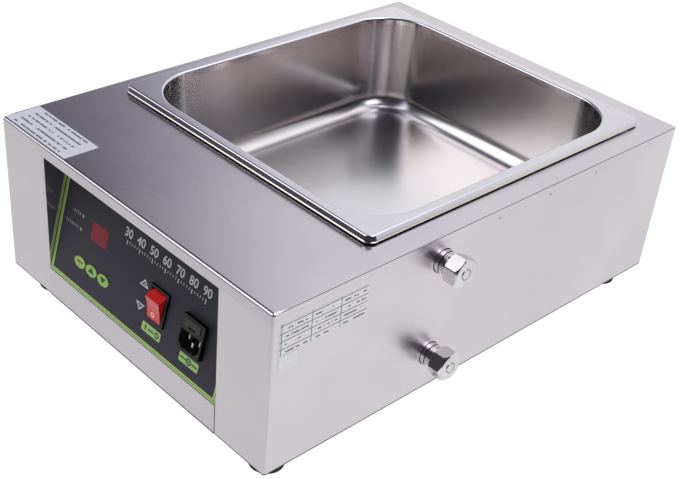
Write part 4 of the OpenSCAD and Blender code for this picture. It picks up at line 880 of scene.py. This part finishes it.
tags, outlines = [], []
for x, t, width in ((30.4, 16.5, 25), (80.9, 16.6, 24.4)):
    for grow, group, n in ((0.0, tags, 0.55), (0.7, outlines, 0.53)):
        tag = plate(x, t, width + grow, 8.2 + grow, n)
        round_corners(tag, 1.4, 5)
        clear()
        group.append(tag)
settle(lay(gather(tags)), "green_tags", "casing", "overlay_print", tag_green)
settle(lay(gather(outlines)), "tag_outlines", "casing", "overlay_print", dark_print)
sign_n = 0.57
signs = [
    plate(22.8, 16.5, 1.7, 5.2, sign_n),
    plate(30.2, 16.5, 8.0, 1.4, sign_n),
    flat_ring(38.0, 16.5, 2.7, 1.3, sign_n),
    plate(73.6, 16.6, 7.2, 1.4, sign_n),
    plate(88.2, 16.6, 7.2, 1.4, sign_n),
    flat_ring(80.9, 16.6, 3.2, 1.2, sign_n),
    plate(80.0, 16.6, 0.9, 2.6, sign_n),
    plate(81.8, 16.6, 0.9, 2.6, sign_n),
]
settle(lay(gather(signs)), "tag_signs", "casing", "overlay_print", dark_print)


# The display window is a piece of tinted red plastic, flush with the film. The two lamps beside it
# are small clear domes that stand on the control board.
window, tap = finish("display_tint")
across, deep, high = where(tap)
low_edge, high_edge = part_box("display_window")
from_side = tap.math("MINIMUM", across - low_edge.x, high_edge.x - across)
from_end = tap.math("MINIMUM", high - low_edge.z, high_edge.z - high)
inside = tap.math("MINIMUM", from_side, from_end).ease(0.0, 0.0022)
cloud = grain(tap, 220.0)
coat(
    tap,
    Base_Color=(inside * 0.85 + cloud * 0.15).blend(paint(62, 14, 24), paint(116, 22, 38)),
    Roughness=0.3 + 0.1 * cloud,
    Specular_IOR_Level=0.3,
)
dress(window, "display_window")
lens = mottled("lamp_lens", (112, 112, 118), (140, 140, 146), rough=0.2, vary=0.1, scale=600.0, detail=2.0)
dress(lens, "indicator_lamps")


# Three oval keys of green plastic stand just proud of the film: a slightly dished cap on a stem that
# reaches through the fascia to its push switch. The signs are printed on the caps.
key_green = mottled(
    "key_green", (128, 166, 84), (142, 180, 98), rough=0.36, vary=0.1, bump=(0.00003, 0.4), scale=320.0
)
key_print = ink("key_print", (16, 44, 8), (26, 56, 16))
key_x, key_t, key_pitch = -59.3, 26, 17.5


def oval(piece, squeeze):
    """Flattens a round piece on the middle key's place into an oval."""
    edit(piece)
    bpy.ops.mesh.select_all(action="SELECT")
    bpy.ops.transform.resize(value=(1, squeeze, 1), center_override=(key_x / 1000, key_t / 1000, 0))
    clear()
    return piece


def peg(x, t, radius, low, high, sides):
    """A round piece on the panel, in its millimetres, from one height off it to another."""
    clear()
    bpy.ops.mesh.primitive_cylinder_add(
        vertices=sides, radius=radius / 1000, depth=(high - low) / 1000,
        location=(x / 1000, t / 1000, (low + high) / 2000),
    )
    bpy.ops.object.transform_apply(location=True)
    return bpy.context.object


key_top, key_print_n = 1.4, 1.33
cap = peg(key_x, key_t, 8, 0.6, key_top, 72)
oval(cap, 10 / 16)
edit(cap)
on_skin("EDGE", lambda at, way: at.z > key_top - 0.1)
round_off(0.3, 3)
on_skin("FACE", lambda at, way: way.z > 0.99 and at.z > key_top - 0.1)
step_in(0.5)
step_in(0.8, -0.1)
stem = peg(key_x, key_t, 2.5, -4.0, 0.8, 32)
edit(stem)
on_skin("EDGE", lambda at, way: at.z < -3.9)
round_off(0.4, 2)
clear()
trim(cap, stem, "UNION")
edge = oval(flat_ring(key_x, key_t, 9.0, 0.85, 0.53, 72), 11.2 / 18)
dots = [flat_ring(key_x + 2.7 * place, key_t + 0.6, 1.1, 1.1, key_print_n, 24) for place in (-1, 0, 1)]
for name, place, sign in (
    ("set_key", -1, gather(dots)),
    ("up_key", 0, triangle(key_x, key_t - 1.7, 8.4, 4.9, key_print_n)),
    ("down_key", 1, triangle(key_x, key_t + 2.6, 7.8, -5.4, key_print_n)),
):
    for part, label, body, slot, look, stands_for in (
        (twin(cap), "_cap", name, "key_green", key_green, [name]),
        (twin(edge), "_edge", "casing", "overlay_print", dark_print, []),
        (sign, "_sign", name, "key_green", key_print, []),
    ):
        part.location.x += place * key_pitch / 1000
        settle(lay(part), name + label, body, slot, look, *stands_for)
for spare in (cap, edge):
    bpy.data.objects.remove(spare)


# The rocker switch has a black moulded housing that snaps into the panel, with a proud bezel round the
# rocker's well. The rocker is glossy red plastic, dished, and swings on two pins.
black_plastic = mottled(
    "switch_black", (18, 18, 19), (26, 26, 27), rough=0.34, vary=0.14, bump=(0.00004, 0.5),
    scale=800.0, detail=2.0, Specular_IOR_Level=0.35,
)


def ease_edges(piece, width, segments=2, angle=30):
    """Rounds every sharp edge of a piece."""
    work(
        piece, "BEVEL", width=width / 1000, segments=segments, limit_method="ANGLE",
        angle_limit=math.radians(angle), miter_outer="MITER_ARC", harden_normals=False,
    )


def box(x, t, width, height, low, high):
    """A block on the panel, in its millimetres, from one height off it to another."""
    clear()
    bpy.ops.mesh.primitive_cube_add(
        size=1, location=(x / 1000, t / 1000, (low + high) / 2000),
        scale=(width / 1000, height / 1000, (high - low) / 1000),
    )
    made = bpy.context.object
    bpy.ops.object.transform_apply(location=True, scale=True)
    return made


switch_x, switch_t = 31.5, 41.2
bezel_w, bezel_h, bezel_top = 25.5, 31.6, 2.5
housing = box(switch_x, switch_t, bezel_w, bezel_h, 0.5, bezel_top)
edit(housing)
on_skin("EDGE", upright)
round_off(1.5, 4)
on_skin("EDGE", lambda at, way: at.z > bezel_top - 0.1)
round_off(0.6, 3)
clear()
trim(housing, box(switch_x, switch_t, 21.8, 30.2, -21.5, 1.5), "UNION")
trim(housing, box(switch_x, switch_t, 18.8, 27.2, -11.2, 4))
ease_edges(housing, 0.2, 2, 50)
# Painted shade: a near-black second finish for the upright sides of the switch housing and the inlet, which
# are darker because light does not fall on them.
shaded_side_black = ink("painted_shade_black", (5, 5, 6), (9, 9, 10), 0.75, Specular_IOR_Level=0.1)


def dull_sides(piece, low, high):
    """Gives the upright sides of a piece on the panel, between two heights off it, the second finish: a
    near black that is painted shade.
    """
    for face in piece.data.polygons:
        n = 1000 * (PANEL.inverted() @ face.center).z
        steep = abs((PANEL.to_3x3().inverted() @ face.normal).z) < 0.75
        face.material_index = 1 if low < n < high and steep else 0


black_and_shaded_sides = [black_plastic, shaded_side_black]
settle(lay(housing), "switch_case", "casing", "switch_black", black_and_shaded_sides, "switch_housing")
dull_sides(housing, 0.4, bezel_top + 0.1)

rocker_red = mottled(
    "rocker_red", (190, 14, 20), (204, 20, 26), rough=0.2, vary=0.08, bump=(0.00002, 0.3),
    scale=260.0, detail=2.0, Specular_IOR_Level=0.2, Coat_Weight=0.7, Coat_Roughness=0.12, Coat_IOR=1.5,
)
swing = math.radians(18)
SWING = Matrix.Translation((switch_x / 1000, switch_t / 1000, -0.0052)) @ Matrix.Rotation(swing, 4, "X")
reach, shoulder, keel = 10.3, 13.48, 4.0
ridge, hollow = 11.3, 0.9
hollow_radius = (reach**2 + hollow**2) / (2 * hollow)
paddle = box(0, 0, 18.2, 2 * shoulder, -4, ridge)
edit(paddle)
bpy.ops.mesh.select_all(action="SELECT")
bpy.ops.mesh.bisect(plane_co=(0, 0, 0.0015), plane_no=(0, 0, 1))
for way_z, length in ((1, reach), (-1, keel)):
    on_skin("FACE", lambda at, way: way.z * way_z > 0.9)
    bpy.ops.transform.resize(value=(1, length / shoulder, 1), center_override=(0, 0, 0))
clear()
bpy.ops.mesh.primitive_cylinder_add(
    vertices=720, radius=hollow_radius / 1000, depth=0.03, rotation=(0, math.pi / 2, 0),
    location=(0, 0, (ridge - hollow + hollow_radius) / 1000),
)
trim(paddle, bpy.context.object)
ease_edges(paddle, 0.7, 4, 25)
clear()
bpy.ops.mesh.primitive_cylinder_add(vertices=24, radius=0.0015, depth=0.0208, rotation=(0, math.pi / 2, 0))
pins = bpy.context.object
bpy.ops.object.transform_apply(rotation=True)
ease_edges(pins, 0.2, 2, 40)
gather([paddle, pins])
paddle.matrix_world = SWING
settle(lay(paddle), "rocker", "rocker", "rocker_red", rocker_red, "rocker_paddle")
white_print = ink("white_print", (226, 224, 224), (240, 238, 238), 0.3)
worn_print = ink("worn_print", (206, 120, 124), (216, 132, 136), 0.3)
for name, sign, t, look in (
    ("rocker_ring", flat_ring(0, 0, 2.2, 0.75, 0, 40), -5.5, white_print),
    ("rocker_bar", plate(0, 0, 0.6, 2.8, 0), 4.8, worn_print),
):
    height = ridge - hollow + hollow_radius - math.sqrt(hollow_radius**2 - t**2) + 0.05
    sign.matrix_world = (
        SWING
        @ Matrix.Translation((-0.0008, t / 1000, height / 1000))
        @ Matrix.Rotation(math.asin(t / hollow_radius), 4, "X")
    )
    settle(lay(sign), name, "rocker", "rocker_red", look)


# The mains inlet is a black moulded block that snaps into the panel and stands proud of it: a socket with
# three pins below, and a drawer for the fuse above, with a finger notch along its lower edge.
inlet_x, inlet_t = 80.5, 40.1
inlet_w, inlet_h, inlet_top = 28.6, 31, 5.0
inlet = box(inlet_x, inlet_t, inlet_w, inlet_h, 0.5, inlet_top)
edit(inlet)
on_skin("EDGE", upright)
round_off(1.5, 4)
on_skin("FACE", lambda at, way: way.z < -0.9)
step_in(0.8)
pull(0, 0, -23)
on_skin("EDGE", lambda at, way: at.z > inlet_top - 0.1)
round_off(0.5, 3)
clear()
socket_t = inlet_t - 5.2
socket = box(inlet_x, socket_t, 25, 15.6, -11.5, 8)
edit(socket)
on_skin("EDGE", lambda at, way: upright(at, way) and at.y < socket_t)
round_off(4.5, 1)
on_skin("EDGE", upright)
round_off(0.5, 2)
clear()
trim(inlet, socket)
drawer_t, drawer_w, drawer_h = inlet_t + 10, 20, 7.4
trim(inlet, box(inlet_x, drawer_t, drawer_w + 0.4, drawer_h + 0.4, -18.7, 8))
ease_edges(inlet, 0.25, 2, 40)
settle(lay(inlet), "inlet", "casing", "inlet_black", black_and_shaded_sides, "inlet_body")
# Painted shade on the inlet's upright sides, as on the switch housing.
dull_sides(inlet, 0.4, inlet_top - 0.4)
contact = mottled(
    "contact_metal", (222, 221, 218), (244, 243, 240), rough=0.3, vary=0.14,
    stretch=(300, 2600, 300), Metallic=1.0,
)
dress(contact, "inlet_pins")
drawer_grey = ink("drawer_grey", (32, 32, 33), (40, 40, 41), 0.35)
drawer = box(inlet_x, drawer_t, drawer_w, drawer_h, -18.5, 5.5)
edit(drawer)
on_skin("FACE", lambda at, way: way.z > 0.9)
step_in(1.0)
step_in(0.3, -0.25)
clear()
trim(drawer, box(inlet_x, drawer_t - drawer_h / 2, 8, 2.4, 4.3, 8))
trim(drawer, box(inlet_x, drawer_t + 1.4, 5.6, 6.4, -17.3, 3.1))
ease_edges(drawer, 0.25, 2, 40)
settle(lay(drawer), "fuse_holder", "fuse_drawer", "drawer_grey", drawer_grey, "fuse_drawer")
glass = mottled(
    "fuse_glass", (206, 220, 222), (226, 236, 236), rough=0.06, vary=0.08,
    scale=200.0, detail=2.0, Coat_Weight=0.6,
)
dress(glass, "fuse")


# The top deck is a sheet with a large cut-out for the pan. Its front edge folds down as a lip over the
# recess, level with the jambs; its sides sit on the walls.
deck_top, fold_r, hem_r = 153, 2.5, 0.7
pan_x, pan_y, opening_w, opening_d, opening_r = -3, 44, 309, 338, 56
deck = flat(spot(0, 0, deck_top), casing_w, casing_d)
round_corners(deck, corner_r, 5)
pick("EDGE", lambda at, way: at.y < front_y)
pull(0, 0, lip_low - deck_top)
pick("EDGE", lambda at, way: at.y < front_y and at.z > deck_top - 0.1)
round_off(fold_r, 6)
clear()
work(deck, "SOLIDIFY", thickness=sheet_t / 1000, offset=-1, use_even_offset=True)
well = block(pan_x, pan_y, deck_top, opening_w, opening_d, 20)
edit(well)
pick("EDGE", upright)
round_off(opening_r, 20)
clear()
trim(deck, well)


def on_side_edge(at, way):
    """True on the deck's upper edge along its sides, its back and their two corners."""
    at_corner = abs(way.x * way.y) > 0.05 and abs(at.x) > half_w - 3 and at.y > half_d - 7.5
    return at.z > deck_top - 0.05 and (abs(at.x) > half_w - 0.1 or at.y > half_d - 0.1 or at_corner)


edit(deck)
pick("EDGE", on_side_edge)
round_off(hem_r, 3)
clear()
deck_steel, tap = finish("deck_stainless")
across, deep, high = where(tap)
hair = grain(tap, 1.0, 4.0, ALONG_X)
cloud = grain(tap, 7.0)
at_side = tap.math("ABSOLUTE", across + off_x / 1000).ease(0.1813, 0.1817)
at_edge = tap.math("MAXIMUM", at_side, deep.ease(0.2468, 0.2472))
# Painted shade: the deck's sheet edge along its sides and back is painted dark grey, as the shade in the
# gap where it sits on the walls.
seam_shade = at_edge * high.ease(0.1714, 0.1719) * deep.ease(-0.2452, -0.2445)
sheet = (hair * 0.25 + cloud * 0.75).ease(0.3, 0.7).blend(paint(199, 194, 202), paint(209, 204, 210))
coat(
    tap,
    Base_Color=seam_shade.blend(sheet, paint(150, 148, 150)),
    Metallic=1.0,
    Roughness=0.17 + 0.04 * hair + 0.05 * cloud,
    Normal=dent(tap, hair, 0.000003, 0.2),
)
settle(deck, "deck", "casing", "brushed_stainless", deck_steel, "top_deck")


# The exhaust and the drain are steel pipes welded to the tank: a plain shank through the wall, a groove,
# and a pipe thread. A hexagonal cap with chamfered corners screws over each.
polished, tap = finish("polished_steel")
lines = grain(tap, 1.0, 3.0, (2200, 40, 40))
cloud = grain(tap, 60.0)
coat(
    tap,
    Base_Color=cloud.ease(0.3, 0.7).blend(paint(206, 203, 205), paint(222, 219, 222)),
    Metallic=1.0,
    Roughness=0.08 + 0.06 * lines + 0.04 * cloud,
    Normal=dent(tap, lines, 0.00002, 0.3),
)
# Painted shade: a near-black finish for the groove in each pipe's shank and the sunk ring round each cap's
# boss. It stands in for the shade inside them.
groove_painted_shade = ink("groove_painted_shade", (14, 14, 14), (26, 26, 26), 0.45)
bright = [polished, groove_painted_shade]
thread_r, root_r, bore_r = 10.5, 9.75, 7.5
pipe_start, pipe_end, shank = 154.5, 202, 31.5
neck_edge_r, neck_r = 10.2, 9.9
cap_x, cap_depth, cap_half, cap_floor = 199.8, 13.6, 12, 204
clear()
bpy.ops.mesh.primitive_circle_add(
    vertices=72, radius=thread_r / 1000, fill_type="NOTHING", location=spot(pipe_start, pipe_y, drain_z),
    rotation=(0, math.pi / 2, 0),
)
tube = bpy.context.object
bpy.ops.object.transform_apply(location=True, rotation=True)
edit(tube)
pick("VERT", lambda at, way: True)
middle = tuple(spot(pipe_start, pipe_y, drain_z))
width = thread_r
neck = [(0.25, neck_edge_r), (0.0, neck_r), (0.7, neck_r), (0.0, neck_edge_r), (0.25, thread_r)]
groove = [(0.45, root_r), (0.2, root_r), (0.45, thread_r), (0.71, thread_r)]
last_groove = [(0.45, root_r), (0.2, root_r), (0.9, root_r)]
for run, radius in [(shank, thread_r)] + neck + [(1.0, thread_r)] + groove * 6 + last_groove:
    pull(run, 0, 0)
    bpy.ops.transform.resize(value=(1, radius / width, radius / width), center_override=middle)
    width = radius
reach = max(v.co.x for v in bmesh.from_edit_mesh(tube.data).verts)
pull((spot(pipe_end, 0, 0).x - reach) * 1000, 0, 0)
pull(0, 0, 0)
bpy.ops.transform.resize(value=(1, bore_r / width, bore_r / width), center_override=middle)
pull(pipe_start - pipe_end, 0, 0)
bpy.ops.mesh.select_all(action="SELECT")
bpy.ops.mesh.remove_doubles(threshold=0.000001)
bpy.ops.mesh.normals_make_consistent(inside=False)

cap = rod(cap_x, pipe_y, drain_z, cap_half / math.cos(math.pi / 6), cap_depth, 6)
crown = rod(cap_x, pipe_y, drain_z, 13.6, cap_depth, 96)
cap_end = cap_x + cap_depth / 2
edit(crown)
pick("EDGE", lambda at, way: at.x > cap_end - 0.1)
round_off(2.2, 1)
pick("EDGE", lambda at, way: at.x < cap_end - cap_depth + 0.1)
round_off(1.2, 1)
clear()
trim(cap, crown, "INTERSECT")
trim(cap, rod(cap_floor - 6, pipe_y, drain_z, thread_r + 0.05, 12, 72))
ease_edges(cap, 0.3, 2, 25)
boss = rod(cap_end - 0.4, pipe_y, drain_z, 5, 1.6, 48)
edit(boss)
pick("FACE", lambda at, way: way.x > 0.99)
step_in(0.2)
step_in(0.15, -0.25)
step_in(0.35)
step_in(0.15, 0.25)
clear()
gather([cap, boss])

for name, high_z, turn in (("drain", drain_z, 0), ("exhaust", exhaust_z, 35)):
    copy = twin(tube)
    copy.location.z += (high_z - drain_z) / 1000
    settle(copy, name + "_tube", "casing", "bright_stainless", bright, name + "_pipe")
    # The shank's groove takes the painted shade.
    for face in copy.data.polygons:
        x = face.center.x * 1000 + off_x
        face.material_index = 1 if 186.1 < x < 187.3 and abs(face.normal.x) < 0.95 else 0
    copy = twin(cap)
    copy.matrix_world = (
        Matrix.Translation(spot(0, pipe_y, high_z))
        @ Matrix.Rotation(math.radians(turn), 4, "X")
        @ Matrix.Translation(-spot(0, pipe_y, drain_z))
    )
    settle(copy, name + "_hex_cap", name + "_cap", "bright_stainless", bright, name + "_cap")
    # The sunk ring round the boss takes the painted shade.
    for face in copy.data.polygons:
        x, y, z = (1000 * axis for axis in face.center - spot(0, pipe_y, high_z))
        face.material_index = 1 if x > cap_end and 4.2 < math.hypot(y, z) < 4.82 else 0
for spare in (tube, cap):
    bpy.data.objects.remove(spare)


# The pan lifts out. It is pressed from one stainless sheet: a flat rim turned down onto the deck, leaning
# walls with large round corners, and a flat floor. It is brighter than the casing.
rim_top, rim_w, rim_d, rim_r = 160, 325, 354, 9
mouth_w, mouth_d, mouth_r, mouth_bend = 305, 334, 54, 2
wall_lean, wall_h, floor_bend, pan_t = 5, 79.2, 18, 0.8
lip_z, lip_lean, lip_bend = 154.8, math.radians(20), 1.8


def bend(radius, first, last, parts, inward, upward):
    """Insets the selected face step by step along an arc, from the first angle to the last. Inward and
    upward are 1 or -1 and say which way the arc runs."""
    before = first
    for part in range(1, parts + 1):
        angle = first + (last - first) * part / parts
        step_in(
            inward * radius * (math.cos(before) - math.cos(angle)),
            upward * radius * (math.sin(angle) - math.sin(before)),
        )
        before = angle


tub = flat(spot(pan_x, pan_y, rim_top), mouth_w, mouth_d)
round_corners(tub, mouth_r, 20)
pick("FACE", lambda at, way: True)
bend(mouth_bend, math.pi / 2, 0, 5, -1, 1)
for part in range(8):
    step_in(wall_lean / 8, -wall_h / 8)
bend(floor_bend, 0, math.pi / 2, 12, 1, -1)
for part in range(3):
    step_in(2.0, 0)
rim = flat(spot(pan_x, pan_y, lip_z), rim_w, rim_d)
round_corners(rim, rim_r, 20)
pick("FACE", lambda at, way: True)
for run, rise in ((0.1, 0.05), (0.45, 0.4), (0.3, 0.4)):
    step_in(run, rise)
    lip_z += rise
lean_height = rim_top - lip_z - lip_bend * (1 - math.sin(lip_lean))
step_in(lean_height * math.tan(lip_lean), lean_height)
bend(lip_bend, lip_lean, math.pi / 2, 5, 1, 1)
pick("FACE", lambda at, way: abs(way.z) > 0.9999 and at.z > rim_top - 0.1)
drop()
clear()
gather([tub, rim])
edit(tub)
pick("EDGE", lambda at, way: at.z > rim_top - 0.01 and abs(way.z) < 0.01)
shell = bmesh.from_edit_mesh(tub.data)
for line in shell.edges:
    if line.select and not line.is_boundary:
        line.select_set(False)
bmesh.update_edit_mesh(tub.data)
bpy.ops.mesh.bridge_edge_loops()
bpy.ops.mesh.select_all(action="SELECT")
bpy.ops.mesh.remove_doubles(threshold=0.000001)
bpy.ops.mesh.normals_make_consistent(inside=False)
shell = bmesh.from_edit_mesh(tub.data)
shell.normal_update()
bottom = min(shell.faces, key=lambda face: face.calc_center_median().z - face.calc_area())
if bottom.normal.z < 0:
    bpy.ops.mesh.flip_normals()
clear()
work(tub, "SOLIDIFY", thickness=pan_t / 1000, offset=-1, use_even_offset=True)
pan_steel, tap = finish("pan_stainless")
across, deep, high = where(tap)
# Painted light and shade: the floor is painted lighter than the rim, and the walls darker and warmer. The
# fold and the lower wall on the left are painted darker still.
walls = high.ease(0.083, 0.1) * (1 - high.ease(0.1755, 0.178))
left_fold_shade = (1 - across.ease(-0.1455, -0.1435)) * (1 - high.ease(0.09, 0.097)) * 0.45
left_wall_shade = (1 - across.ease(-0.16, -0.15)) * high.ease(0.09, 0.097) * (1 - high.ease(0.105, 0.175)) * 0.9
on_floor = 1 - high.ease(0.0815, 0.09)
smooth = 0.2 - 0.04 * high.ease(0.081, 0.1) - 0.08 * high.ease(0.172, 0.1745)
top_low = on_floor.blend(paint(210, 208, 215), paint(220, 220, 225))
top_high = on_floor.blend(paint(220, 218, 225), paint(230, 230, 235))
hair = grain(tap, 1.0, 4.0, ALONG_Z)
cloud = grain(tap, 9.0)
coat(
    tap,
    Base_Color=(left_fold_shade + left_wall_shade).blend(
        (hair * 0.2 + cloud * 0.8).ease(0.3, 0.7).blend(
            walls.blend(top_low, paint(204, 197, 195)),
            walls.blend(top_high, paint(214, 207, 205)),
        ),
        paint(140, 136, 137),
    ),
    Metallic=1.0,
    Roughness=smooth + 0.03 * hair + 0.05 * cloud,
    Normal=dent(tap, hair, 0.000002, 0.1),
)
settle(tub, "lift_out_pan", "pan", "satin_stainless", pan_steel, "pan", angle=40)


# The labels are plain white film, stuck on: a wide one on the deck's front corner, with rows of dashes, and
# two on the right side, one of them ruled as a table with dashes in its cells. They keep their CAD shape.
for name, owner, rows, wide, low_tone, high_tone in (
    ("deck_film", "deck_label", 0.0068, 0.0, paint(208, 210, 226), paint(220, 222, 236)),
    ("side_film", "side_labels", 0.0070, 0.0290, paint(224, 222, 225), paint(234, 232, 235)),
):
    paper, tap = finish(name)
    across, deep, high = where(tap)
    low_edge, high_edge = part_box(owner)
    fibre = grain(tap, 700.0)
    blank = fibre.ease(0.3, 0.7).blend(low_tone, high_tone)
    if owner == "deck_label":
        gap = tap.math("PINGPONG", deep - (low_edge.y + 0.0034), rows / 2)
        ends = (across - (low_edge.x + 0.009)).ease(0, 0.0002)
        ends = ends * (high_edge.x - 0.012 - across).ease(0, 0.0002)
        dashes = grain(tap, 1.0, 1.0, (330, 147, 0)).ease(0.4, 0.46)
        rule = (1 - gap.ease(0.0008, 0.0012)) * ends * dashes
    else:
        gap = tap.math("PINGPONG", high_edge.z - 0.0014 - high, rows / 2)
        side = tap.math("PINGPONG", deep - (low_edge.y + 0.0014), wide / 2)
        table = (high - (high_edge.z - 0.0282)).ease(0, 0.0001)
        dashes = grain(tap, 1.0, 1.0, (0, 300, 143)).ease(0.46, 0.52) * side.ease(0.003, 0.0034)
        rule = tap.math("MAXIMUM", 1 - gap.ease(0.0003, 0.0005), 1 - side.ease(0.0003, 0.0005))
        rule = tap.math("MAXIMUM", rule, gap.ease(0.0026, 0.0029) * dashes) * table
    coat(
        tap,
        Base_Color=(rule * 0.85).blend(blank, paint(52, 53, 60)),
        Roughness=0.38 + 0.12 * fibre,
        Normal=dent(tap, fibre, 0.00003, 0.3),
    )
    dress(paper, owner)
